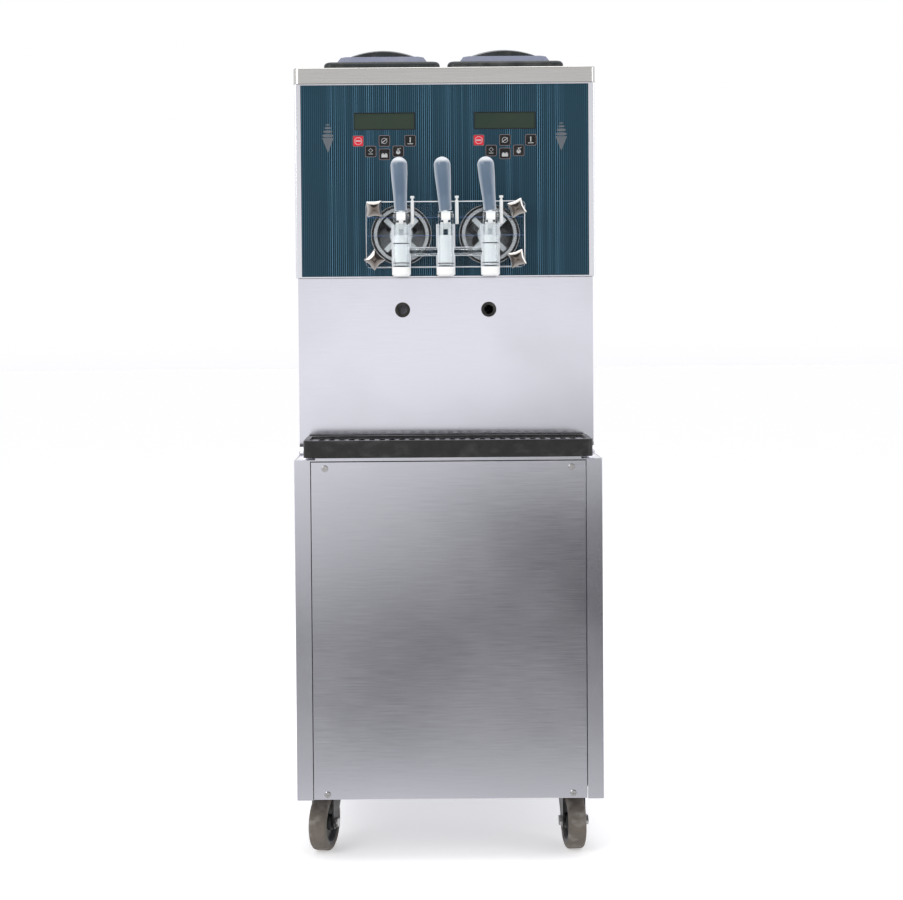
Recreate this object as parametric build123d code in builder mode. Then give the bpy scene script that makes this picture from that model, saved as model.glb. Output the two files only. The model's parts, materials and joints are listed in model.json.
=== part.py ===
from build123d import *
from math import atan2, cos, degrees, hypot, radians, sin, sqrt
import os

# Floor-standing twin soft-serve machine, in millimetres.
# Origin: floor level, at the centre of the plan. +Z is up and the serving side faces -Y.

# ---- overall sizes -------------------------------------------------------------------------
body_width = 540.0          # pedestal and upper cabinet
fascia_width = 545.0        # control housing, a little wider than the cabinet
top_width = 548.0           # worktop
depth = 760.0               # drip tray front to the end of the cable gland
skirt_z = 110.0             # lower edge of the panels
deck_z = 710.0              # top of the pedestal
fascia_z = 1032.0           # lower edge of the control housing
top_z = 1384.0              # underside of the worktop
top_height = 28.6
sheet = 2.0                 # thickness of the cabinet panels
seam = 0.5                  # gap between neighbouring fixed pieces
clear = 0.4                 # gap between pieces that move past each other
fit = 0.05                  # radial clearance of a running fit

# ---- front to back -------------------------------------------------------------------------
tray_front = -depth / 2
tray_overhang = 10.0        # tray front ahead of the pedestal front
gland_out = 22.0            # cable gland behind the rear panel
splash_setback = 145.0      # splash panel behind the pedestal front
fascia_out = 20.0           # control housing ahead of the splash panel
pedestal_y = tray_front + tray_overhang
rear_y = depth / 2 - gland_out
splash_y = pedestal_y + splash_setback
fascia_y = splash_y - fascia_out
side_x = body_width / 2 - sheet          # inner faces of the side panels
worktop_z = top_z + top_height

os.makedirs("parts", exist_ok=True)


def save(piece, name):
    """Label a finished piece and write it as its own STEP file."""
    piece.part.label = name
    export_step(piece.part, f"parts/{name}.step")


def lying(y):
    """Plane across the machine at depth y: local x is +X, local y is +Z, normal is -Y."""
    return Plane(origin=(0, y, 0), x_dir=(1, 0, 0), z_dir=(0, -1, 0))


def side_on(x):
    """Plane along the machine at width x: local x is +Y, local y is +Z, normal is +X."""
    return Plane(origin=(x, 0, 0), x_dir=(0, 1, 0), z_dir=(1, 0, 0))


# ---- casters -------------------------------------------------------------------------------
wheel_d = 100.0
wheel_w = 32.0
axle_d = 10.0
caster_plate = 76.0
plate_t = 3.0
base_z = 128.0              # underside of the base plate, inside the skirt
base_t = 3.0
kingpin_d = 12.0
trail = 28.0                # wheel axle ahead of the kingpin
fork_t = 3.0
fork_gap = 1.5              # between wheel and fork
crown_d = 62.0
crown_clear = 6.0           # above the wheel
caster_inset_x = 50.0       # kingpin from the side of the body
caster_front = 103.0        # kingpin behind the pedestal front
caster_rear = 75.0          # kingpin ahead of the rear panel
casters = {                 # side, end and resting yaw in degrees
    "front_left": (-1, -1, -14.0),
    "front_right": (1, -1, 5.0),
    "rear_left": (-1, 1, 9.0),
    "rear_right": (1, 1, -7.0),
}


def kingpin(side, end):
    x = side * (body_width / 2 - caster_inset_x)
    y = pedestal_y + caster_front if end < 0 else rear_y - caster_rear
    return x, y


with BuildPart() as caster_plates:
    for side, end, yaw in casters.values():
        px, py = kingpin(side, end)
        with BuildSketch(Plane.XY.offset(base_z - plate_t)):
            with Locations((px, py)):
                RectangleRounded(caster_plate, caster_plate, 8)
                Circle(kingpin_d / 2 + fit, mode=Mode.SUBTRACT)
        extrude(amount=plate_t - 0.02)
save(caster_plates, "caster_plates")

for name, (side, end, yaw) in casters.items():
    px, py = kingpin(side, end)
    swivel = Plane(origin=(px, py, 0), x_dir=(cos(radians(yaw)), sin(radians(yaw)), 0), z_dir=(0, 0, 1))
    axle_z = wheel_d / 2
    leg_x = wheel_w / 2 + fork_gap
    crown_z = wheel_d + crown_clear
    crown_top = base_z - plate_t - clear
    across = Plane(origin=swivel.from_local_coords((-leg_x - fork_t, -trail, axle_z)),
                   x_dir=swivel.y_dir, z_dir=swivel.x_dir)
    with BuildPart() as fork:
        with BuildSketch(swivel.offset(crown_z)):
            Circle(crown_d / 2)
            with Locations((0, -trail / 2)):
                Rectangle(2 * (leg_x + fork_t), trail + 16)
        extrude(amount=crown_top - crown_z - 5)
        with BuildSketch(swivel.offset(crown_top - 5)):
            Circle(crown_d / 2 - 4)
        extrude(amount=5)
        with BuildSketch(swivel.offset(crown_top)):
            Circle(kingpin_d / 2)
        extrude(amount=plate_t)
        for start in (0, 2 * leg_x + fork_t):
            with BuildSketch(across.offset(start)):
                with BuildLine():
                    Polyline((-12, 0), (-8, crown_z - axle_z + 2), (trail + 26, crown_z - axle_z + 2), (12, 0))
                    ThreePointArc((12, 0), (0, -12), (-12, 0))
                make_face()
            extrude(amount=fork_t)
        with BuildSketch(across.offset(-6)):
            Circle(axle_d / 2)
        extrude(amount=2 * (leg_x + fork_t) + 12)
        for start in (-6, 2 * (leg_x + fork_t)):
            with BuildSketch(across.offset(start)):
                RegularPolygon(9, 6)
            extrude(amount=6)
    save(fork, f"caster_fork_{name}")

    with BuildPart() as wheel:
        with BuildSketch(across.offset(fork_t + fork_gap)):
            Circle(wheel_d / 2)
            Circle(axle_d / 2 + fit, mode=Mode.SUBTRACT)
        extrude(amount=wheel_w)
        fillet(wheel.edges().filter_by(GeomType.CIRCLE).group_by(SortBy.RADIUS)[-1], 5)
        for start in (fork_t + fork_gap, fork_t + fork_gap + wheel_w - 6):
            with BuildSketch(across.offset(start)):
                Circle(wheel_d / 2 - 13)
                Circle(axle_d / 2 + 8, mode=Mode.SUBTRACT)
            extrude(amount=6, mode=Mode.SUBTRACT)
    save(wheel, f"caster_wheel_{name}")

# ---- base, frame and cabinet panels --------------------------------------------------------
flange = 28.0               # folded front edges of the pedestal sides
post = 25.0                 # square tube of the inner frame
with BuildPart() as base_plate:
    with BuildSketch(Plane.XY.offset(base_z)):
        with Locations((0, (pedestal_y + rear_y) / 2)):
            Rectangle(2 * (side_x - seam), rear_y - pedestal_y - 2 * (sheet + seam) - 24)
    extrude(amount=base_t)
save(base_plate, "base_plate")

post_x = side_x - seam - post / 2
low_front_y = pedestal_y + 18 + post / 2
up_front_y = splash_y + 16 + post / 2
post_rear_y = rear_y - sheet - seam - 12 - post / 2
rail_z = deck_z - sheet - seam - 8 - post / 2
with BuildPart() as frame:
    for side in (-1, 1):
        for y, low, high in (
            (low_front_y, base_z + base_t, rail_z),
            (up_front_y, rail_z, top_z - seam),
            (post_rear_y, base_z + base_t, top_z - seam),
        ):
            with BuildSketch(Plane.XY.offset(low)):
                with Locations((side * post_x, y)):
                    Rectangle(post, post)
            extrude(amount=high - low)
        for z, front in ((rail_z, low_front_y), (top_z - seam - post / 2, up_front_y)):
            with BuildSketch(lying(post_rear_y)):
                with Locations((side * post_x, z)):
                    Rectangle(post, post)
            extrude(amount=post_rear_y - front + post / 2)
    for y, z in ((low_front_y, rail_z), (post_rear_y, rail_z), (post_rear_y, top_z - seam - post / 2)):
        with BuildSketch(side_on(-post_x)):
            with Locations((y, z)):
                Rectangle(post, post)
        extrude(amount=2 * post_x)
save(frame, "frame")

vent_rows = 12
vent_pitch = 14.0
vent_h = 6.0
side_vent_len = 180.0
side_vent_y = 190.0
side_vent_z = 330.0
with BuildPart() as side_panels:
    for side in (-1, 1):
        inner = side_x if side > 0 else -side_x - sheet
        with BuildSketch(side_on(inner)):
            with BuildLine():
                Polyline(
                    (pedestal_y, skirt_z),
                    (rear_y, skirt_z),
                    (rear_y, top_z - seam),
                    (splash_y + sheet + seam, top_z - seam),
                    (splash_y + sheet + seam, deck_z),
                    (pedestal_y, deck_z),
                    close=True,
                )
            make_face()
            with Locations((side_vent_y, side_vent_z)):
                with GridLocations(side_vent_len, vent_pitch, 1, vent_rows):
                    SlotOverall(side_vent_len, vent_h, mode=Mode.SUBTRACT)
        extrude(amount=sheet)
        with BuildSketch(lying(pedestal_y + sheet)):
            with Locations((side * (body_width / 2 - flange / 2), (skirt_z + deck_z) / 2)):
                Rectangle(flange, deck_z - skirt_z)
        extrude(amount=sheet)
    vertical = side_panels.edges().filter_by(Axis.Z).group_by(Axis.Y)[0]
    fillet([e for e in vertical if abs(e.center().X) > body_width / 2 - 1], 1.5)
save(side_panels, "side_panels")

panel_gap = 1.2             # dark line round the front panel
front_w = body_width - 2 * (flange + panel_gap)
front_low = skirt_z + 1
front_high = deck_z - sheet - 1
front_fold = 12.0
screw_x = front_w / 2 - 24.5
screw_z = (front_low + 9, front_high - 12)
screw_d = 5.0
screw_head = 12.0
screw_spots = [(side * screw_x, z) for side in (-1, 1) for z in screw_z]
with BuildPart() as front_panel:
    with BuildSketch(lying(pedestal_y + sheet)):
        with Locations((0, (front_low + front_high) / 2)):
            Rectangle(front_w, front_high - front_low)
        with Locations(*screw_spots):
            Circle(screw_d / 2 + fit, mode=Mode.SUBTRACT)
    extrude(amount=sheet)
    with BuildSketch(lying(pedestal_y + front_fold)):
        with Locations((0, (front_low + front_high) / 2)):
            Rectangle(front_w, front_high - front_low)
            Rectangle(front_w - 2 * sheet, front_high - front_low - 2 * sheet, mode=Mode.SUBTRACT)
    extrude(amount=front_fold - sheet)
    fillet(front_panel.faces().sort_by(Axis.Y)[0].outer_wire().edges(), 1.2)
save(front_panel, "front_panel")

with BuildPart() as panel_screws:
    for x, z in screw_spots:
        with BuildSketch(Plane(origin=(x, pedestal_y, z), x_dir=(1, 0, 0), z_dir=(0, -1, 0))):
            Circle(screw_head / 2)
        extrude(amount=2.8, taper=18)
        with BuildSketch(Plane(origin=(x, pedestal_y, z), x_dir=(1, 0, 0), z_dir=(0, 1, 0))):
            Circle(screw_d / 2)
        extrude(amount=9)
        with BuildSketch(Plane(origin=(x, pedestal_y - 2.8, z), x_dir=(1, 0, 0), z_dir=(0, 1, 0))):
            Rectangle(6, 1.2)
            Rectangle(1.2, 6)
        extrude(amount=1.4, mode=Mode.SUBTRACT)
save(panel_screws, "panel_screws")

gland_x = -180.0
gland_z = 190.0
gland_bore = 11.0
gland_body = 24.0
rear_vent_len = 190.0
rear_vent_x = 115.0
rear_vent_z = (330.0, 1230.0)
with BuildPart() as rear_panel:
    with BuildSketch(lying(rear_y)):
        with Locations((0, (skirt_z + top_z - seam) / 2)):
            Rectangle(2 * (side_x - seam), top_z - seam - skirt_z)
        for z in rear_vent_z:
            with Locations((0, z)):
                with GridLocations(2 * rear_vent_x, vent_pitch, 2, vent_rows):
                    SlotOverall(rear_vent_len, vent_h, mode=Mode.SUBTRACT)
        with Locations((gland_x, gland_z)):
            Circle(gland_body / 2 + seam, mode=Mode.SUBTRACT)
    extrude(amount=sheet)
    for z in rear_vent_z:
        for x in (-rear_vent_x, rear_vent_x):
            for row in range(vent_rows):
                hood_z = z + (row - (vent_rows - 1) / 2) * vent_pitch + vent_h / 2
                with BuildSketch(side_on(x - rear_vent_len / 2)):
                    with BuildLine():
                        Polyline((rear_y, hood_z), (rear_y + 5, hood_z - vent_h), (rear_y + 6, hood_z - vent_h),
                                 (rear_y + 6, hood_z - vent_h + 1), (rear_y, hood_z + 1.6), close=True)
                    make_face()
                extrude(amount=rear_vent_len)
save(rear_panel, "rear_panel")

with BuildPart() as cable_gland:
    with BuildSketch(Plane(origin=(gland_x, rear_y, gland_z), x_dir=(1, 0, 0), z_dir=(0, 1, 0))):
        RegularPolygon(gland_body / 2 + 5, 6)
    extrude(amount=6)
    with BuildSketch(Plane(origin=(gland_x, rear_y - 12, gland_z), x_dir=(1, 0, 0), z_dir=(0, 1, 0))):
        Circle(gland_body / 2)
    extrude(amount=12)
    with BuildSketch(Plane(origin=(gland_x, rear_y + 6, gland_z), x_dir=(1, 0, 0), z_dir=(0, 1, 0))):
        Circle(gland_body / 2)
    extrude(amount=gland_out - 6)
    fillet(cable_gland.edges().filter_by(GeomType.CIRCLE).sort_by(Axis.Y)[-1], 3)
    with BuildSketch(Plane(origin=(gland_x, rear_y - 12, gland_z), x_dir=(1, 0, 0), z_dir=(0, 1, 0))):
        Circle(gland_bore / 2)
    extrude(amount=12 + gland_out, mode=Mode.SUBTRACT)
save(cable_gland, "cable_gland")

# ---- pedestal deck, splash panel and chutes ------------------------------------------------
lip_w = 466.0
lip_h = 4.0
cove = 20.0                 # curve at the foot of the splash panel
chute_x = 79.0
chute_z = 973.0
chute_bore = 17.0
chute_body = 21.0
chute_flange = 27.7
with BuildPart() as deck:
    with BuildSketch(Plane.XY.offset(deck_z - sheet)):
        deck_front = pedestal_y + sheet + seam
        with Locations((0, (deck_front + splash_y + sheet) / 2)):
            Rectangle(2 * (side_x - seam), splash_y + sheet - deck_front)
        with Locations((0, (pedestal_y + splash_y) / 2)):
            Rectangle(front_w, splash_y - pedestal_y)
    extrude(amount=sheet)
    with BuildSketch(Plane.XY.offset(deck_z)):
        with Locations((0, pedestal_y + 2)):
            Rectangle(lip_w, 3)
    extrude(amount=lip_h)
    edge = deck.faces().sort_by(Axis.Z)[-1].edges()
    fillet(edge.filter_by(Axis.X), 0.8)
save(deck, "deck")

with BuildPart() as splash_panel:
    foot_z = deck_z + seam
    with BuildSketch(side_on(-body_width / 2)):
        with BuildLine():
            Polyline((splash_y - cove, foot_z), (splash_y - cove, foot_z + sheet))
            TangentArc((splash_y - cove, foot_z + sheet), (splash_y, foot_z + sheet + cove), tangent=(1, 0))
            Polyline((splash_y, foot_z + sheet + cove), (splash_y, fascia_z - seam),
                     (splash_y + sheet, fascia_z - seam), (splash_y + sheet, foot_z + sheet + cove))
            TangentArc((splash_y + sheet, foot_z + sheet + cove), (splash_y - cove, foot_z), tangent=(0, -1))
        make_face()
    extrude(amount=body_width)
    with BuildSketch(lying(splash_y + sheet)):
        with Locations((-chute_x, chute_z), (chute_x, chute_z)):
            Circle(chute_body / 2 + seam)
    extrude(amount=sheet, mode=Mode.SUBTRACT)
save(splash_panel, "splash_panel")

with BuildPart() as drip_chutes:
    for x in (-chute_x, chute_x):
        mouth = Plane(origin=(x, splash_y, chute_z), x_dir=(1, 0, 0), z_dir=(0, -1, 0))
        with BuildSketch(mouth):
            Circle(chute_flange / 2)
        extrude(amount=3)
        with BuildSketch(mouth.offset(-25)):
            Circle(chute_body / 2)
        extrude(amount=25)
        with BuildSketch(mouth.offset(-25)):
            Circle(chute_bore / 2)
        extrude(amount=28, mode=Mode.SUBTRACT)
    fillet(drip_chutes.edges().filter_by(GeomType.CIRCLE).group_by(Axis.Y)[0], 1.2)
save(drip_chutes, "drip_chutes")

# ---- control housing, fascia, displays and keys --------------------------------------------
cylinder_x = 80.0
cylinder_z = 1109.0
cylinder_r = 55.0
stud_x = 128.0
stud_z = (1063.0, 1154.0)
stud_d = 8.0
stud_spots = [(side * stud_x, z) for side in (-1, 1) for z in stud_z]
strip_w = 11.0
fascia_t = 3.0
panel_x = 109.5             # centre of each control group
display_w = 109.0
display_h = 28.4
display_z = 1315.5
key = 18.4
key_out = 0.4               # keys stand just proud of the fascia
row_z = (1280.0, 1261.0, 1255.7)
stop_keys = [(group * panel_x - 47.5, row_z[0]) for group in (-1, 1)]
plain_keys = [
    (group * panel_x + dx, z)
    for group in (-1, 1)
    for dx, z in ((0, row_z[0]), (47.0, row_z[0]), (-25.0, row_z[1]), (25.0, row_z[1]), (0, row_z[2]))
]
panel_low = fascia_z + sheet + seam
panel_high = top_z - 2 * seam - sheet
panel_w = fascia_width - 2 * (strip_w + seam)
with BuildPart() as fascia_housing:
    with BuildSketch(lying(splash_y - seam)):
        with Locations((0, (fascia_z + top_z - seam) / 2)):
            Rectangle(fascia_width, top_z - seam - fascia_z)
        with Locations((0, (panel_low + panel_high) / 2)):
            Rectangle(panel_w + 2 * seam, panel_high - panel_low + 2 * seam, mode=Mode.SUBTRACT)
    extrude(amount=fascia_out - seam)
    corner = fascia_housing.edges().filter_by(Axis.Z).group_by(Axis.Y)[0]
    fillet([e for e in corner if abs(e.center().X) > fascia_width / 2 - 1], 3)
save(fascia_housing, "fascia_housing")

with BuildPart() as fascia_panel:
    with BuildSketch(lying(fascia_y + fascia_t)):
        with Locations((0, (panel_low + panel_high) / 2)):
            Rectangle(panel_w, panel_high - panel_low)
        with Locations((-cylinder_x, cylinder_z), (cylinder_x, cylinder_z)):
            Circle(cylinder_r + seam, mode=Mode.SUBTRACT)
        with Locations(*stud_spots):
            Circle(stud_d / 2 + fit, mode=Mode.SUBTRACT)
        with Locations((-panel_x, display_z), (panel_x, display_z)):
            Rectangle(display_w + seam, display_h + seam, mode=Mode.SUBTRACT)
        with Locations(*(stop_keys + plain_keys)):
            RectangleRounded(key + seam, key + seam, 2.2, mode=Mode.SUBTRACT)
    extrude(amount=fascia_t)
save(fascia_panel, "fascia_panel")

with BuildPart() as displays:
    for x in (-panel_x, panel_x):
        with BuildSketch(lying(fascia_y + 8)):
            with Locations((x, display_z)):
                Rectangle(display_w, display_h)
        extrude(amount=7.2)
save(displays, "displays")

with BuildPart() as keypad:
    with BuildSketch(lying(fascia_y + fascia_t)):
        with Locations(*(stop_keys + plain_keys)):
            RectangleRounded(key, key, 2.0)
    extrude(amount=fascia_t + key_out)
    fillet(keypad.faces().group_by(Axis.Y)[0].edges(), 0.35)
save(keypad, "keypad")

# ---- worktop, hoppers and lids -------------------------------------------------------------
top_front = fascia_y - 3
top_rear = rear_y + sheet
top_corner = 10.0
hopper_x = 114.0
hopper_y = pedestal_y + 315
hopper_w = 184.0
hopper_l = 264.0
hopper_wall = 1.5
hopper_floor = 1200.0
hopper_flange = 11.0
neck_d = 20.0
neck_bore = 14.0
neck_behind = 8.5           # neck behind the middle of what hopper and cylinder share
motor_gap = 10.0            # cylinder's back to the gearbox
motor_room = 68.0           # motor's end to the rear panel
gearbox = (130.0, 90.0, 120.0)
gear_bore_depth = 24.0
motor_r = 56.0
motor_len = 130.0
cylinder_end = rear_y - motor_room - motor_len - gearbox[1] - motor_gap
neck_y = (hopper_y - hopper_l / 2 + cylinder_end) / 2 + neck_behind
with BuildPart() as top_plate:
    with BuildSketch(Plane.XY.offset(top_z)):
        with Locations((0, (top_front + top_rear) / 2)):
            RectangleRounded(top_width, top_rear - top_front, top_corner)
    extrude(amount=top_height)
    fillet(top_plate.faces().sort_by(Axis.Z)[-1].edges(), 2)
    with BuildSketch(Plane.XY.offset(top_z)):
        with Locations((0, (top_front + top_rear) / 2)):
            Rectangle(top_width - 2 * sheet - 8, top_rear - top_front - 2 * sheet - 8)
    extrude(amount=top_height - sheet, mode=Mode.SUBTRACT)
    with BuildSketch(Plane.XY.offset(worktop_z - sheet)):
        with Locations((-hopper_x, hopper_y), (hopper_x, hopper_y)):
            RectangleRounded(hopper_w + 2 * seam, hopper_l + 2 * seam, 12)
    extrude(amount=sheet, mode=Mode.SUBTRACT)
save(top_plate, "top_plate")

with BuildPart() as hoppers:
    for side in (-1, 1):
        with BuildSketch(Plane.XY.offset(hopper_floor)):
            with Locations((side * hopper_x, hopper_y)):
                RectangleRounded(hopper_w, hopper_l, 11.5)
        extrude(amount=worktop_z - hopper_floor)
        with BuildSketch(Plane.XY.offset(worktop_z)):
            with Locations((side * hopper_x, hopper_y)):
                RectangleRounded(hopper_w + 2 * hopper_flange, hopper_l + 2 * hopper_flange, 14)
        extrude(amount=hopper_wall)
        with BuildSketch(Plane.XY.offset(hopper_floor + hopper_wall)):
            with Locations((side * hopper_x, hopper_y)):
                RectangleRounded(hopper_w - 2 * hopper_wall, hopper_l - 2 * hopper_wall, 10)
        extrude(amount=worktop_z - hopper_floor, mode=Mode.SUBTRACT)
        neck_low = cylinder_z + cylinder_r + seam
        with BuildSketch(Plane.XY.offset(neck_low)):
            with Locations((side * cylinder_x, neck_y)):
                Circle(neck_d / 2)
        extrude(amount=hopper_floor - neck_low)
        with BuildSketch(Plane.XY.offset(neck_low)):
            with Locations((side * cylinder_x, neck_y)):
                Circle(neck_bore / 2)
        extrude(amount=hopper_floor - neck_low + hopper_wall, mode=Mode.SUBTRACT)
save(hoppers, "hoppers")

lid_w = 214.0
lid_l = 300.0
rim_top = 1430.0
tier_w = 172.0
tier_l = 258.0
tier_h = 13.0
tier_slope = 9.0            # how far each side leans in
dome_w = 146.0
dome_l = 220.0
dome_h = 24.5
dome_corner = 34.0
dome_round_w = 170.0        # radius of the crown across its width
dome_round_l = 450.0        # and along its length
dome_hollow = (80.0, 120.0, 12.0)
lid_wall = 3.0
rim_low = worktop_z + clear
pocket_z = worktop_z + hopper_wall + clear
for side, name in ((-1, "left"), (1, "right")):
    centre = (side * hopper_x, hopper_y)
    with BuildPart() as rim:
        with BuildSketch(Plane.XY.offset(rim_low)):
            with Locations(centre):
                RectangleRounded(lid_w, lid_l, 16)
        extrude(amount=rim_top - rim_low)
        fillet(rim.faces().sort_by(Axis.Z)[-1].edges(), 7)
        with BuildSketch(Plane.XY.offset(rim_low)):
            with Locations(centre):
                RectangleRounded(tier_w - 2 * lid_wall - 2, tier_l - 2 * lid_wall - 2, 8)
        extrude(amount=rim_top - rim_low, mode=Mode.SUBTRACT)
        with BuildSketch(Plane.XY.offset(rim_low)):
            with Locations(centre):
                RectangleRounded(hopper_w + 2 * hopper_flange + 2 * clear, hopper_l + 2 * hopper_flange + 2 * clear, 14)
        extrude(amount=pocket_z - rim_low, mode=Mode.SUBTRACT)
    save(rim, f"lid_rim_{name}")

    with BuildPart() as cover:
        for inset, mode in ((0, Mode.ADD), (lid_wall, Mode.SUBTRACT)):
            with BuildSketch(Plane.XY.offset(rim_top)):
                with Locations(centre):
                    tier_base = Rectangle(tier_w - 2 * inset, tier_l - 2 * inset)
                chamfer(tier_base.vertices(), 10)
            with BuildSketch(Plane.XY.offset(rim_top + tier_h - inset)):
                with Locations(centre):
                    tier_crest = Rectangle(tier_w - 2 * (tier_slope + inset), tier_l - 2 * (tier_slope + inset))
                chamfer(tier_crest.vertices(), 10)
            loft(mode=mode)
    save(cover, f"lid_cover_{name}")

    dome_low = rim_top + tier_h
    dome_top = dome_low + dome_h
    roll_z = dome_top - dome_round_l
    brow = dome_top - dome_round_w + sqrt(dome_round_w ** 2 - dome_w ** 2 / 2)
    low, high = centre[0] - dome_w / sqrt(2), centre[0] + dome_w / sqrt(2)
    with BuildPart() as dome:
        with BuildSketch(Plane.XY.offset(dome_low)):
            with Locations(centre):
                RectangleRounded(dome_w, dome_l, dome_corner)
        extrude(amount=2 * dome_h)
        with BuildSketch(lying(hopper_y)):
            with BuildLine():
                Polyline((low, brow), (low, roll_z), (high, roll_z), (high, brow))
                ThreePointArc((high, brow), (centre[0], dome_top), (low, brow))
            make_face()
        revolve(axis=Axis((0, hopper_y, roll_z), (1, 0, 0)), mode=Mode.INTERSECT)
        with BuildSketch(Plane.XY.offset(dome_low)):
            with Locations(centre):
                RectangleRounded(dome_hollow[0], dome_hollow[1], 10)
        extrude(amount=dome_hollow[2], mode=Mode.SUBTRACT)
    save(dome, f"lid_dome_{name}")

# ---- freezing cylinders, beaters and drives ------------------------------------------------
cylinder_bore = 88.0
cylinder_face = fascia_y - 3
cylinder_back = 6.0
shaft_d = 16.0
beater_gap = 1.0            # scraper to bore
beater_r = cylinder_bore / 2 - beater_gap
hub_d = 42.0
bar_t = 5.0
bar_w = 9.0
beater_start = 5.0          # front spider behind the cylinder's mouth
cylinder_len = cylinder_end - cylinder_face
with BuildPart() as freezing_cylinders:
    for x in (-cylinder_x, cylinder_x):
        tube = Plane(origin=(x, cylinder_end, cylinder_z), x_dir=(1, 0, 0), z_dir=(0, -1, 0))
        with BuildSketch(tube):
            Circle(cylinder_r)
            Circle(shaft_d / 2 + fit, mode=Mode.SUBTRACT)
        extrude(amount=cylinder_len)
        with BuildSketch(tube.offset(cylinder_back)):
            Circle(cylinder_bore / 2)
        extrude(amount=cylinder_len, mode=Mode.SUBTRACT)
        with BuildSketch(Plane.XY.offset(cylinder_z)):
            with Locations((x, neck_y)):
                Circle(neck_bore / 2)
        extrude(amount=cylinder_r + 1, mode=Mode.SUBTRACT)
save(freezing_cylinders, "freezing_cylinders")

gearbox_y = cylinder_end + motor_gap
for x, name in ((-cylinder_x, "left"), (cylinder_x, "right")):
    with BuildPart() as beater:
        spin = Plane(origin=(x, cylinder_face + beater_start, cylinder_z), x_dir=(1, 0, 0), z_dir=(0, 1, 0))
        beater_len = cylinder_len - beater_start - cylinder_back - 4
        for start in (0, beater_len - 8):
            with BuildSketch(spin.offset(start)):
                Circle(hub_d / 2)
                with Locations(Rotation(0, 0, 45), Rotation(0, 0, 135)):
                    Rectangle(2 * beater_r - bar_t, bar_w)
            extrude(amount=8)
        with BuildSketch(spin):
            with PolarLocations(beater_r - bar_t, 4, 45):
                Rectangle(bar_t, bar_w)
        extrude(amount=beater_len)
        with BuildSketch(spin):
            Circle(shaft_d / 2)
        extrude(amount=gearbox_y + gear_bore_depth - 1 - spin.origin.Y)
        fillet(beater.edges().filter_by(GeomType.CIRCLE).sort_by(Axis.Y)[0], 2)
    save(beater, f"beater_{name}")

# ---- refrigeration and electrical parts in the pedestal ------------------------------------
floor_z = base_z + base_t
compressor_x = 120.0        # axis left of the middle
compressor_ahead = 318.0    # axis ahead of the rear panel
compressor_r = 80.0
compressor_h = 190.0
compressor_foot = 190.0
foot_t = 12.0
compressor_spot = (-compressor_x, rear_y - compressor_ahead)
with BuildPart() as compressor:
    with BuildSketch(Plane.XY.offset(floor_z)):
        with Locations(compressor_spot):
            RectangleRounded(compressor_foot, compressor_foot, 20)
    extrude(amount=foot_t)
    with BuildSketch(Plane.XY.offset(floor_z + foot_t)):
        with Locations(compressor_spot):
            Circle(compressor_r)
    extrude(amount=compressor_h)
    fillet(compressor.edges().filter_by(GeomType.CIRCLE).sort_by(Axis.Z)[-1], 30)
save(compressor, "compressor")

fan_z = 330.0
fan_r = 120.0
condenser_t = 44.0
condenser_w = 400.0
condenser_h = 330.0
condenser_room = 52.0       # condenser to the outside of the rear panel
condenser_foot = 20.0
condenser_y = rear_y - condenser_room - condenser_t
shroud_t = 30.0
shroud_wall = 3.0
with BuildPart() as condenser:
    with BuildSketch(lying(condenser_y + condenser_t)):
        with Locations((0, fan_z)):
            Rectangle(condenser_w, condenser_h)
    extrude(amount=condenser_t)
    with BuildSketch(lying(condenser_y)):
        with Locations((0, fan_z)):
            Rectangle(condenser_w, condenser_h)
    extrude(amount=shroud_t)
    with BuildSketch(lying(condenser_y)):
        with Locations((0, fan_z)):
            Rectangle(condenser_w - 2 * shroud_wall, condenser_h - 2 * shroud_wall)
    extrude(amount=shroud_t - shroud_wall, mode=Mode.SUBTRACT)
    with BuildSketch(lying(condenser_y)):
        with Locations((0, fan_z)):
            Circle(fan_r + 6)
    extrude(amount=shroud_t, mode=Mode.SUBTRACT)
    for side in (-1, 1):
        with BuildSketch(lying(condenser_y + condenser_t)):
            with Locations((side * (condenser_w - condenser_foot) / 2, (floor_z + fan_z - condenser_h / 2) / 2)):
                Rectangle(condenser_foot, fan_z - condenser_h / 2 - floor_z)
        extrude(amount=condenser_t)
save(condenser, "condenser")

fan_shaft = 8.0
fan_hub_r = 28.0
fan_hub_t = 16.0
blade_count = 5
blade_w = 26.0
blade_t = 2.4
blade_pitch = radians(28.65)
blade_root = 4.0            # blades sunk into the hub
fan_mid = condenser_y - shroud_t / 2
with BuildPart() as fan_blades:
    with BuildSketch(lying(fan_mid + fan_hub_t / 2)):
        with Locations((0, fan_z)):
            Circle(fan_hub_r)
            Circle(fan_shaft / 2 + fit, mode=Mode.SUBTRACT)
    extrude(amount=fan_hub_t)
    root = fan_hub_r - blade_root
    for turn in range(blade_count):
        angle = radians(360 / blade_count * turn)
        chord = Vector(-sin(angle) * cos(blade_pitch), sin(blade_pitch), cos(angle) * cos(blade_pitch))
        blade_plane = Plane(origin=(root * cos(angle), fan_mid, fan_z + root * sin(angle)),
                            x_dir=chord, z_dir=(cos(angle), 0, sin(angle)))
        with BuildSketch(blade_plane):
            Rectangle(blade_w, blade_t)
        extrude(amount=fan_r - root - 2)
save(fan_blades, "fan_blades")

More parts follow.
